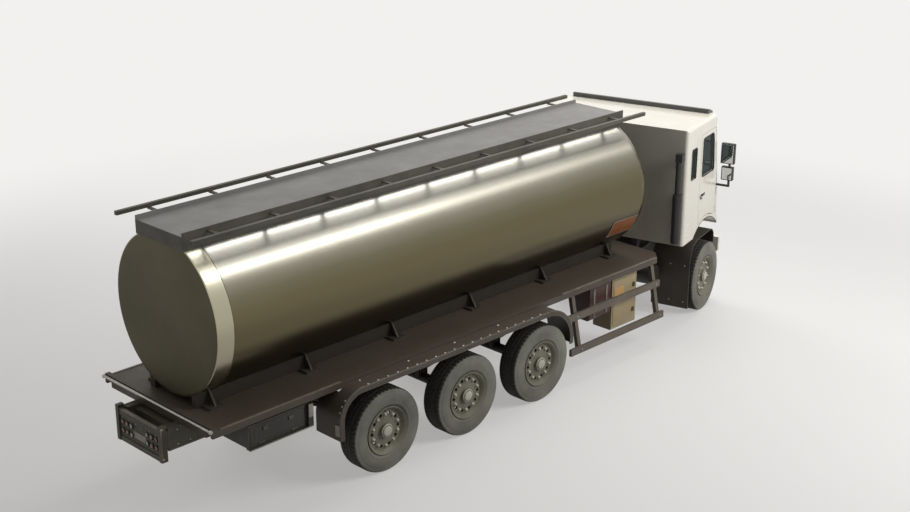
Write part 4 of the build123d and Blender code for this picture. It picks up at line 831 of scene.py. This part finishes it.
# on each side the outer pair stays red, the middle pair is amber and the inner pair white
onTank("amberLamps", copiedTo(dome, lampPlaces[[2, 3, 8, 9]]), "amberLens")
onTank("whiteLamps", copiedTo(dome, lampPlaces[[4, 5, 10, 11]]), "clearLens")
plateX, plateZ = span(panelLow[0], 0.016, 0.0185), span(panelLow[2], 0.12, 0.2)
onTank("rearPlate", boxes((plateX[0], -0.12, plateZ[0]), (plateX[1], 0.12, plateZ[1])), "creamReflector")
postBolts = []
for side in (-1, 1):
    places = placesAt(panelLow[0] + 0.025, side * frameHigh[1], (panelLow[2] + 0.04, panelHigh[2] - 0.03))
    postBolts.append(boltHeads(places, (0, side, 0), 0.011, 0.008))
onTank("panelBolts", postBolts, "boltSteel")

# pale strips painted as highlights: on the panel's posts and top bar, and along the lower edge of the frame's
# rear end
postInner = frameHigh[1] - 0.052
barXs, barZs = span(panelLow[0], 0.0005, 0.046), span(panelHigh[2] - 0.042, -0.001, 0.0015)
rearHighlightStrips = [boxes((barXs[0], -postInner + 0.004, barZs[0]), (barXs[1], postInner - 0.004, barZs[1]))]
trimYs = span(frameHigh[1], -0.0005, 0.003)
postZs = (panelLow[2] + 0.004, panelHigh[2] - 0.004)
for side in (-1, 1):
    rearHighlightStrips.append(sideBox(side, span(panelLow[0], 0.001, 0.014), trimYs, postZs))
    rearHighlightStrips.append(sideBox(side, span(frameLow[0], 0.003, 1.4), trimYs, span(frameLow[2], 0.001, 0.022)))
onTank("rearEdgeHighlights", rearHighlightStrips, "paintedEdgeHighlight")
rowBolts = placesAt(
    panelLow[0] + 0.02, np.linspace(postInner - 0.06, -postInner + 0.06, 6), panelHigh[2] - 0.13
)
onTank("panelRow", boltHeads(rowBolts, (-1, 0, 0), 0.011, 0.009), "nutPaintAndGlint")

# tool boxes: a pale strip painted as a highlight on each ledge and on its front hanger
boxesLow, boxesHigh = unitBox("tool_boxes", "tank")
ledgeXs, ledgeYs = (boxesLow[0] + 0.002, boxesHigh[0] - 0.002), span(boxesHigh[1], -0.0005, 0.0015)
ledgeEdgeHighlights = []
for side in (-1, 1):
    ledgeEdgeHighlights.append(sideBox(side, ledgeXs, ledgeYs, span(boxesLow[2], 0.001, 0.0145)))
    hangerXs, hangerZs = span(boxesHigh[0], -0.066, -0.004), span(boxesHigh[2], -0.16, -0.004)
    ledgeEdgeHighlights.append(sideBox(side, hangerXs, ledgeYs, hangerZs))
onTank("ledgeEdgeHighlights", ledgeEdgeHighlights, "paintedEdgeHighlight")

# side guard bolts, one at each crossing of a post and a rail, and frame rivets along the rails
railLook = {"postXs": (-1.55, 0.145), "lowZ": 0.44, "highZ": 0.88, "upperInset": 0.092, "lift": 0.0003}
rivetLook = {"endX": -0.9, "pitch": 0.16, "below": (0.05, 0.22), "radius": 0.009, "height": 0.006}
railY = unitBox("side_guards", "tank")[1][1]
crossings = ((railLook["lowZ"], railY), (railLook["highZ"], railY - railLook["upperInset"]))
parts = []
for side in (-1, 1):
    places = [(x, side * (y + railLook["lift"]), z) for x in railLook["postXs"] for z, y in crossings]
    parts.append(boltHeads(places, (0, side, 0), 0.013, 0.009))
rivetXs = np.arange(frameLow[0] + 0.12, rivetLook["endX"], rivetLook["pitch"])
for side in (-1, 1):
    for below in rivetLook["below"]:
        places = placesAt(rivetXs, side * frameHigh[1], frameHigh[2] - below)
        parts.append(boltHeads(places, (0, side, 0), rivetLook["radius"], rivetLook["height"]))
onTank("frameBolts", parts, "boltSteel")

# tool box doors: two latches and a pressed panel each
toolLow, toolHigh = unitBox("tool_door_right", "tank")
face = abs(toolLow[1]) - 0.009
panelXs, panelZs = (toolLow[0] + 0.06, toolHigh[0] - 0.06), (toolLow[2] + 0.06, toolHigh[2] - 0.03)
latchXs, latchZs = (toolLow[0] + 0.2, toolHigh[0] - 0.2), span(toolHigh[2], -0.075, -0.035)
for name, side in (("right", -1), ("left", 1)):
    body = "tool_door_" + name
    panel = sideBox(side, panelXs, span(face, 0.0005, 0.003), panelZs)
    latches = [sideBox(side, span(x, -0.03, 0.03), span(face, 0.003, 0.014), latchZs) for x in latchXs]
    addPiece("toolPanel_" + name, panel, "boxPaint", "tank", body, bevel=0.001)
    addPiece("toolLatches_" + name, latches, "railPaint", "tank", body, bevel=0.003)

# equipment box: a raised door, a bare yellow plate and two grips; hose box: straps
boxLow, boxHigh = unitBox("equipment_box", "tank")
hoseLow, hoseHigh = unitBox("hose_box", "tank")
faceY = boxLow[1]
door = boxes(
    (boxLow[0] + 0.03, faceY - 0.006, boxLow[2] + 0.05), (boxHigh[0] - 0.03, faceY + 0.004, boxHigh[2] - 0.05)
)
onTank("equipmentDoor", door, "tanPaint", bevel=0.003)
plate = boxes(
    (boxLow[0] + 0.05, faceY - 0.0085, boxHigh[2] - 0.34),
    (boxLow[0] + 0.25, faceY - 0.0055, boxHigh[2] - 0.16),
)
onTank("equipmentPlate", plate, "yellowPlate")
equipmentGrips = [
    boxes((boxHigh[0] - 0.09, faceY - 0.022, z - 0.03), (boxHigh[0] - 0.05, faceY - 0.0055, z + 0.03))
    for z in (boxLow[2] + 0.2, boxHigh[2] - 0.2)
]
onTank("equipmentGrips", equipmentGrips, "railPaint", bevel=0.004)
straps = [
    boxes(
        (x - 0.018, hoseLow[1] - 0.006, hoseLow[2] + 0.045),
        (x + 0.018, hoseLow[1] + 0.002, hoseHigh[2] - 0.05),
    )
    for x in (hoseLow[0] + 0.09, hoseHigh[0] - 0.09)
]
onTank("hoseStraps", straps, "wornEdge", bevel=0.002)

# walkway: dark folded edges along both sides and across the ends
walkLow, walkHigh = unitBox("walkway", "tank")
walkLook = {"thick": 0.002, "overlap": 0.0005, "inset": 0.002, "topInset": 0.003, "endTopInset": 0.047}
thick, overlap, inset = walkLook["thick"], walkLook["overlap"], walkLook["inset"]
walkEnds = {-1: span(walkLow[0], -thick, overlap), 1: span(walkHigh[0], -overlap, thick)}
longXs, longZs = (walkLow[0] + inset, walkHigh[0] - inset), (
    walkLow[2] + inset, walkHigh[2] - walkLook["topInset"]
)
walkEdges = []
for side, (backX, frontX) in walkEnds.items():
    walkEdges.append(sideBox(side, longXs, span(walkHigh[1], thick, -overlap), longZs))
    endTop = walkHigh[2] - walkLook["endTopInset"]
    walkEdges.append(
        boxes((backX, walkLow[1] + inset, walkLow[2] + inset), (frontX, walkHigh[1] - inset, endTop))
    )
onTank("walkwayEdges", walkEdges, "railPaint")

# discharge valves: a stem and a red hand lever on each
valveLook = {"xs": (-1.3, -1.02, -0.74), "lowZ": 1.08, "stemZ": 1.11, "leverZ": 1.118}
leverY = (frameHigh[1] + unitBox("discharge_pipes", "tank")[1][1]) / 2
stemZ, leverZ = valveLook["stemZ"], valveLook["leverZ"]
levers = []
for x in valveLook["xs"]:
    levers.append(tube(((x, leverY, valveLook["lowZ"]), (x, leverY, stemZ)), 0.014, 12, normal=(1, 0, 0)))
    lever = ((x, leverY, stemZ), (x, leverY + 0.06, leverZ), (x, leverY + 0.17, leverZ))
    levers.append(tube(lever, 0.009, 10, normal=(1, 0, 0)))
onTank("valveLevers", levers, "redPaint")

# cab: everything is placed by u ahead, v to the left and z up
print("scene: cab")
cabLook = {
    "halfWidth": 1.195,
    "sill": (1.79, 1.95),
    "brow": (1.64, 2.905),
    "screen": (2.09, 2.82, 1.06),
    "quarter": (0.665, 0.845, 2.2, 2.64),
    "door": (1.03, 1.72, 2.14, 2.78),
    "handleZ": 1.82,
    "frame": 0.07,
    "gasket": 0.009,
}
(sillU, sillZ), (browU, browZ) = cabLook["sill"], cabLook["brow"]


def rakeU(z):
    # the windscreen plane: u falls from the sill to the brow as z rises
    return sillU + (np.asarray(z) - sillZ) / (browZ - sillZ) * (browU - sillU)


rakeNormal = np.array((browZ - sillZ, 0, sillU - browU))
rakeNormal = rakeNormal / np.linalg.norm(rakeNormal)
cabHalf = cabLook["halfWidth"]
lowZ, highZ, screenHalf = cabLook["screen"]
loop = ringPath([(-screenHalf, lowZ), (screenHalf, lowZ), (screenHalf, highZ), (-screenHalf, highZ)], 0.07, 8)
screenLoop = np.column_stack((rakeU(loop[:, 1]), loop[:, 0], loop[:, 1])) + rakeNormal * 0.002
screenBead = tube(screenLoop, cabLook["gasket"] + 0.004, 8, closed=True, normal=rakeNormal)
onCab("screenGasket", screenBead, "blackRubber")
rearU, frontU, winLow, winHigh = cabLook["door"]
rim = cabLook["frame"]
windowCorners = [
    (rearU + rim, winLow),
    (rakeU(winLow) - sillU + frontU - 1.6 * rim, winLow),
    (rakeU(winHigh) - sillU + frontU - 1.2 * rim, winHigh - rim),
    (rearU + rim, winHigh - rim),
]
quarterRear, quarterFront, quarterLow, quarterHigh = cabLook["quarter"]
quarterCorners = [
    (quarterRear, quarterLow),
    (quarterFront, quarterLow),
    (quarterFront, quarterHigh),
    (quarterRear, quarterHigh),
]


def sideGasket(name, corners, rounding, steps, side, body):
    # rubber bead round a side window
    flat = ringPath(corners, rounding, steps)
    path = placesAt(flat[:, 0], side * (cabHalf + 0.001), flat[:, 1])
    addPiece(
        name, tube(path, cabLook["gasket"], 8, closed=True, normal=(0, side, 0)), "blackRubber", "cab", body
    )


handleZ = cabLook["handleZ"]
for name, side in (("right", -1), ("left", 1)):
    sideGasket("doorGasket_" + name, windowCorners, 0.05, 8, side, "door_" + name)
    sideGasket("quarterGasket_" + name, quarterCorners, 0.03, 6, side, "cab_unit")
    # a dark plate behind each handle: partly the plate itself, partly painted shade standing in for the
    # handle's recess
    handlePlateShade = sideBox(
        side, span(rearU, 0.055, 0.225), span(cabHalf, 0.0005, 0.004), span(handleZ, -0.02, 0.055)
    )
    addPiece("handlePlateShade_" + name, handlePlateShade, "darkPlastic", "cab", "door_" + name, bevel=0.0015)

# arch edge rubber, following the round of each wheel arch: (u, z) = centre + r (cos a, sin a)
archLook = {"u": 1.34, "z": 0.75, "radius": 0.7, "from": 46, "to": 131, "steps": 36}
a = np.radians(np.linspace(archLook["from"], archLook["to"], archLook["steps"]))
archUs = archLook["u"] + archLook["radius"] * np.cos(a)
archZs = archLook["z"] + archLook["radius"] * np.sin(a)
arches = [
    tube(placesAt(archUs, side * (cabHalf - 0.004), archZs), 0.007, 8, normal=(0, 1, 0)) for side in (-1, 1)
]
onCab("archRubber", arches, "blackRubber")

# wipers: pivot, arm and blade, three across the screen
wiperLook = {
    "vs": (-0.78, -0.05, 0.68),
    "pivotZ": 2.03,
    "tipZ": 2.36,
    "reach": 0.33,
    "halfSpan": 0.17,
    "halfRise": 0.16,
}
pivotZ, tipZ = wiperLook["pivotZ"], wiperLook["tipZ"]
wipers, blades = [], []
for v in wiperLook["vs"]:
    base = np.array((rakeU(pivotZ), v, pivotZ)) + rakeNormal * 0.012
    tip = np.array((rakeU(tipZ), v + wiperLook["reach"], tipZ)) + rakeNormal * 0.02
    wipers.append(tube((base, base + rakeNormal * 0.012, tip), 0.006, 8, normal=(0.2, 0.9, 0.1)))
    bladeEnds = [
        tip + np.array((rakeU(endZ) - rakeU(tipZ), way * wiperLook["halfSpan"], way * wiperLook["halfRise"]))
        for way, endZ in ((-1, 2.2), (1, 2.52))
    ]
    blades.append(tube((bladeEnds[0], tip, bladeEnds[1]), 0.0065, 6, normal=rakeNormal))
    wipers.append(boltHeads([base - rakeNormal * 0.01], rakeNormal, 0.016, 0.022, 12))
onCab("wiperArms", wipers, "darkPlastic")
onCab("wiperBlades", blades, "blackRubber")

# dark backing behind the grille slats, a bare front plate, lamp rims, amber turn lamps and lens ribs
grilleLow, grilleHigh = unitBox("grille", "cab")
backingLow = (grilleLow[0] - 0.0005, grilleLow[1] + 0.01, grilleLow[2] + 0.005)
backingHigh = (grilleLow[0] + 0.006, grilleHigh[1] - 0.01, grilleHigh[2] - 0.005)
onCab("grilleBacking", boxes(backingLow, backingHigh), "blackRubber")
bumperFace = 2.04
frontPlate = boxes((bumperFace + 0.0005, -0.26, 0.79), (bumperFace + 0.005, 0.26, 0.9))
onCab("frontPlate", frontPlate, "creamReflector", bevel=0.001)
lampLow, lampHigh = unitBox("headlamps", "cab")
lampLook = {"inset": 0.265, "halfWidth": 0.155, "margin": 0.005, "rounding": 0.045}
lampV, rimHalf = cabHalf - lampLook["inset"], lampLook["halfWidth"]
rimLow, rimHigh = lampLow[2] - lampLook["margin"], lampHigh[2] + lampLook["margin"]
turnZs, ribZs = (lampLow[2] + 0.01, lampHigh[2] - 0.01), (lampLow[2] + 0.02, lampHigh[2] - 0.02)
ribUs = span(lampHigh[0], -0.001, 0.002)
rims, glass, ribs = [], [], []
for side in (-1, 1):
    lowV, highV = span(side * lampV, -rimHalf, rimHalf)
    flat = ringPath(
        [(lowV, rimLow), (highV, rimLow), (highV, rimHigh), (lowV, rimHigh)], lampLook["rounding"], 8
    )
    path = placesAt(bumperFace + 0.006, flat[:, 0], flat[:, 1])
    rims.append(tube(path, 0.008, 8, closed=True, normal=(1, 0, 0)))
    glass.append(sideBox(side, span(bumperFace, 0.0005, 0.0055), span(cabHalf, -0.09, -0.02), turnZs))
    vs = side * lampV + np.arange(-0.12, 0.13, 0.04)
    ribs.append(boxes(placesAt(ribUs[0], vs - 0.004, ribZs[0]), placesAt(ribUs[1], vs + 0.004, ribZs[1])))
onCab("lampRims", rims, "darkPlastic")
onCab("turnLamps", glass, "amberLens", bevel=0.002)
onCab("lampRibs", ribs, "clearLens")

# mirror glass on the heads' rear faces; each head by its inner and outer v and its low and high z
outerV = unitBox("mirrors", "cab")[1][1]
mirrorU, mirrorRim = 1.728, 0.012
heads = ((outerV - 0.2, outerV, 2.2, 2.5), (outerV - 0.18, outerV - 0.01, 1.95, 2.15))
mirrorGlass = [
    sideBox(
        side,
        span(mirrorU, -0.0025, 0.001),
        (innerV + mirrorRim, farV - mirrorRim),
        (z0 + mirrorRim, z1 - mirrorRim),
    )
    for side in (-1, 1)
    for innerV, farV, z0, z1 in heads
]
onCab("mirrorGlass", mirrorGlass, "mirrorSilver", bevel=0.001)

# fenders: bolts along the splash panels
fenderLow = unitBox("front_fenders", "cab")[0]
splashLook = {"vs": (0.68, 0.9, 1.12), "zs": (0.3, 0.86)}
places = [(fenderLow[0], side * v, z) for side in (-1, 1) for v in splashLook["vs"] for z in splashLook["zs"]]
onCab("splashBolts", boltHeads(places, (-1, 0, 0), 0.01, 0.007), "boltSteel")

# intake pipe: clamp bands round the pipe at each bracket, given by height and outer radius
pipeLook = {
    "u": 0.4, "inset": 0.095, "bands": ((1.42, 0.0645), (1.97, 0.0645), (2.45, 0.0405)), "halfBand": 0.014
}
pipeAt = (pipeLook["u"], pipeLook["inset"] - cabHalf, 0)
bands = []
for z, r in pipeLook["bands"]:
    lowZ, highZ = span(z, -pipeLook["halfBand"], pipeLook["halfBand"])
    profile = ((lowZ, r - 0.006), (lowZ, r), (highZ, r), (highZ, r - 0.006), (lowZ, r - 0.006))
    bands.append(turned(profile, 28, ((0, 0, 1), (1, 0, 0), (0, 1, 0)), pipeAt))
onCab("pipeBands", bands, "castIron")

# seats: crowned pads, their sides pulled in; point = centre + half * sign(w) |w|^e, w from a sphere's u, v
seatLook = {"fill": 0.75, "power": 0.42, "steps": (40, 56), "crown": 0.1, "seam": 0.1, "seamWidth": 0.25}


def padForm(centre, halfSize, tilt=0.0, channels=0):
    rows, columns = seatLook["steps"]
    e = seatLook["power"]
    lat = np.linspace(-np.pi / 2 + 1e-3, np.pi / 2 - 1e-3, rows)[:, None]
    lon = np.linspace(0, 2 * np.pi, columns, endpoint=False)[None, :]
    shape = lambda value: np.sign(value) * np.abs(value) ** e
    x = shape(np.cos(lat)) * shape(np.cos(lon))
    y = shape(np.cos(lat)) * shape(np.sin(lon))
    z = shape(np.sin(lat)) * np.ones_like(lon)
    crown = 1 - seatLook["crown"] * (x**2 + y**2)
    groove = 1.0
    if channels:
        groove = 1 - seatLook["seam"] * np.exp(-((np.cos(np.pi * channels * y) / seatLook["seamWidth"]) ** 2))
    pulledY = halfSize[1] * y * (1 - 0.03 * z**2)
    local = np.stack((halfSize[0] * x, pulledY, halfSize[2] * z * crown * groove), -1).reshape(-1, 3)
    c, s = math.cos(tilt), math.sin(tilt)
    turn = np.array(((c, 0, -s), (0, 1, 0), (s, 0, c)))
    return local @ turn + centre, gridFaces(rows, columns).tolist() + endFaces(rows, columns)


seatV = unitBox("seats", "cab")[1][1] - 0.25
# (u, z), half size, tilt and sewn channels of the cushion, the back and the head rest
padSizes = (
    ((0.885, 1.61), (0.255, 0.235, 0.08), 0.0, 3),
    ((0.668, 1.98), (0.36, 0.235, 0.07), -1.5, 3),
    ((0.655, 2.4), (0.085, 0.15, 0.05), -1.5, 0),
)
pads, bases = [], []
for v in (-seatV, seatV):
    pads += [padForm((u, v, z), halfSize, tilt, channels) for (u, z), halfSize, tilt, channels in padSizes]
    bases.append(boxes((0.7, v - 0.2, 1.5), (1.1, v + 0.2, 1.545)))
    bases.append(boxes((0.72, v - 0.135, 1.3605), (1.07, v + 0.135, 1.5)))
seatPads = onCab("seatPads", pads, "seatCloth", crease=60)
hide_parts("seats")
onCab("seatBases", bases, "darkPlastic", bevel=0.004)

# dashboard: three round dials ahead of the driver's wheel
dialPlaces = placesAt(1.497, [seatV + offset for offset in (-0.12, 0.0, 0.12)], 1.79)
onCab("dashDials", boltHeads(dialPlaces, (-1, 0, 0), 0.045, 0.008, 24), "mirrorSilver")

# rear springs: two round clamps over each leaf spring
clampLook = {"xs": (-2.43, -3.775, -5.12), "y": 0.38, "apart": 0.055, "halfWidth": 0.045, "zs": (0.5, 0.69)}
lowZ, highZ = clampLook["zs"]
springClamps = []
for side in (-1, 1):
    for x in clampLook["xs"]:
        innerY, farY = span(side * clampLook["y"], -clampLook["halfWidth"], clampLook["halfWidth"])
        for clampX in span(x, -clampLook["apart"], clampLook["apart"]):
            arch = placesAt(clampX, (innerY, innerY, farY, farY), (lowZ, highZ, highZ, lowZ))
            springClamps.append(tube(arch, 0.008, 8, normal=(1, 0, 0)))
onTank("springClamps", springClamps, "castIron")

# stage: floor, lamps, world and camera
print("scene: stage")
stageLook = {
    "floorHalf": 60.0,
    "floorColour": "#E2E1DF",
    "bounceColour": "#6A6966",
    "background": "#F2F1EF",
    "fadeFrom": 6.0,
    "fadeTo": 14.0,
    "nearGlow": 0.42,
    "fill": 0.11,
}
floorMesh = bpy.data.meshes.new("floor")
reach = stageLook["floorHalf"]
corners = [(-reach, -reach, 0), (reach, -reach, 0), (reach, reach, 0), (-reach, reach, 0)]
floorMesh.from_pydata(corners, [], [(0, 1, 2, 3)])
floor = newObject("floor", floorMesh)


def addSeen(holder):
    # 1 for what the eye, a mirror or a pane sees, 0 for light that only bounces
    path = addNode(holder, "LightPath")
    seen = addMath(holder, "MAXIMUM", path.outputs["Is Camera Ray"], path.outputs["Is Glossy Ray"])
    return addMath(holder, "MAXIMUM", seen, path.outputs["Is Transmission Ray"])


# pale floor that keeps the shadow near the object and runs into the backdrop further out
floorMaterial = newMaterial("paleFloor")
floorPlace = objectPlace(floorMaterial)
grain = addNoise(floorMaterial, floorPlace, 0.6)
seen = addSeen(floorMaterial)
away = addNode(floorMaterial, "VectorMath", {"operation": "LENGTH"}, {0: floorPlace}).outputs["Value"]
fade = addNode(
    floorMaterial,
    "MapRange",
    {
        "interpolation_type": "SMOOTHERSTEP",
        1: stageLook["fadeFrom"],
        2: stageLook["fadeTo"],
        3: stageLook["nearGlow"],
        4: 1.0,
    },
    {0: away},
).outputs[0]
floorColour = addMix(floorMaterial, seen, linear(stageLook["bounceColour"]), linear(stageLook["floorColour"]))
floorShader = addNode(
    floorMaterial,
    "BsdfPrincipled",
    links={"Base Color": floorColour, "Roughness": addRange(floorMaterial, grain, 0.3, 0.7, 0.75, 0.85)},
)
farFloor = addNode(floorMaterial, "Emission", {"Color": linear(stageLook["background"]), "Strength": 1.0})
addOutput(
    floorMaterial, mixedShader(floorMaterial, product(floorMaterial, fade, seen), floorShader, farFloor)
)
floor.data.materials.append(floorMaterial)

world = bpy.data.worlds.new("studio")
bpy.context.scene.world = world
world.use_nodes = True
world.node_tree.nodes.clear()
fillLight = addNode(world, "Background", {"Color": linear("#FFFFFF"), "Strength": stageLook["fill"]})
backdrop = addNode(world, "Background", {"Color": linear(stageLook["background"]), "Strength": 1.0})
addNode(world, "OutputWorld", links={"Surface": mixedShader(world, addSeen(world), fillLight, backdrop)})

# the strips hang in line with the tank and draw its long highlights: each aims straight across, at its own x,
# which keeps its long side along x; they only show in gloss, and the soft lamps only light
# name, place, aim, size, power, and whether it is seen in gloss
lamps = (
    ("rearStrip", (1.6, -5.2, 9.0), (1.6, -0.9, 2.8), (6.4, 1.0), 230, True),
    ("middleStrip", (6.6, -5.2, 9.0), (6.6, -0.9, 2.8), (3.6, 1.0), 60, True),
    ("frontStrip", (10.4, -5.2, 9.0), (10.4, -0.9, 2.8), (4.0, 1.0), 35, True),
    ("roofStrip", (4.2, 0.0, 9.0), (4.2, -0.1, 3.0), (11.0, 1.0), 260, True),
    ("sideSoft", (6.0, -10.0, 8.0), (0.5, -1.0, 1.8), (6.0, 6.0), 1000, False),
    ("topSoft", (6.5, 0.5, 10.0), (1.5, -0.5, 1.8), (5.0, 6.0), 460, False),
    ("leftSoft", (5.0, 10.0, 7.0), (0.0, 0.5, 1.8), (6.0, 6.0), 600, False),
)
for name, at, aim, size, power, shows in lamps:
    light = bpy.data.lights.new(name, "AREA")
    light.shape = "RECTANGLE"
    light.size, light.size_y = size
    light.energy = power
    lampObject = newObject(name, light)
    lampObject.location = at
    lampObject.rotation_euler = (Vector(aim) - Vector(at)).to_track_quat("-Z", "Y").to_euler()
    lampObject.visible_glossy = shows
    lampObject.visible_diffuse = not shows

cameraLook = {
    "focalPixels": 1478.0,
    "imageWidth": 910.0,
    "at": (-12.861, -13.016, 8.305),
    "azimuth": -45.18,
    "elevation": 19.9,
}
cameraData = bpy.data.cameras.new("camera")
cameraData.sensor_width = 36.0
cameraData.lens = cameraLook["focalPixels"] / cameraLook["imageWidth"] * cameraData.sensor_width
camera = newObject("camera", cameraData)
camera.location = cameraLook["at"]
camera.rotation_euler = (math.radians(90 - cameraLook["elevation"]), 0, math.radians(cameraLook["azimuth"]))
bpy.context.scene.camera = camera
bpy.context.scene.view_settings.view_transform = "Standard"
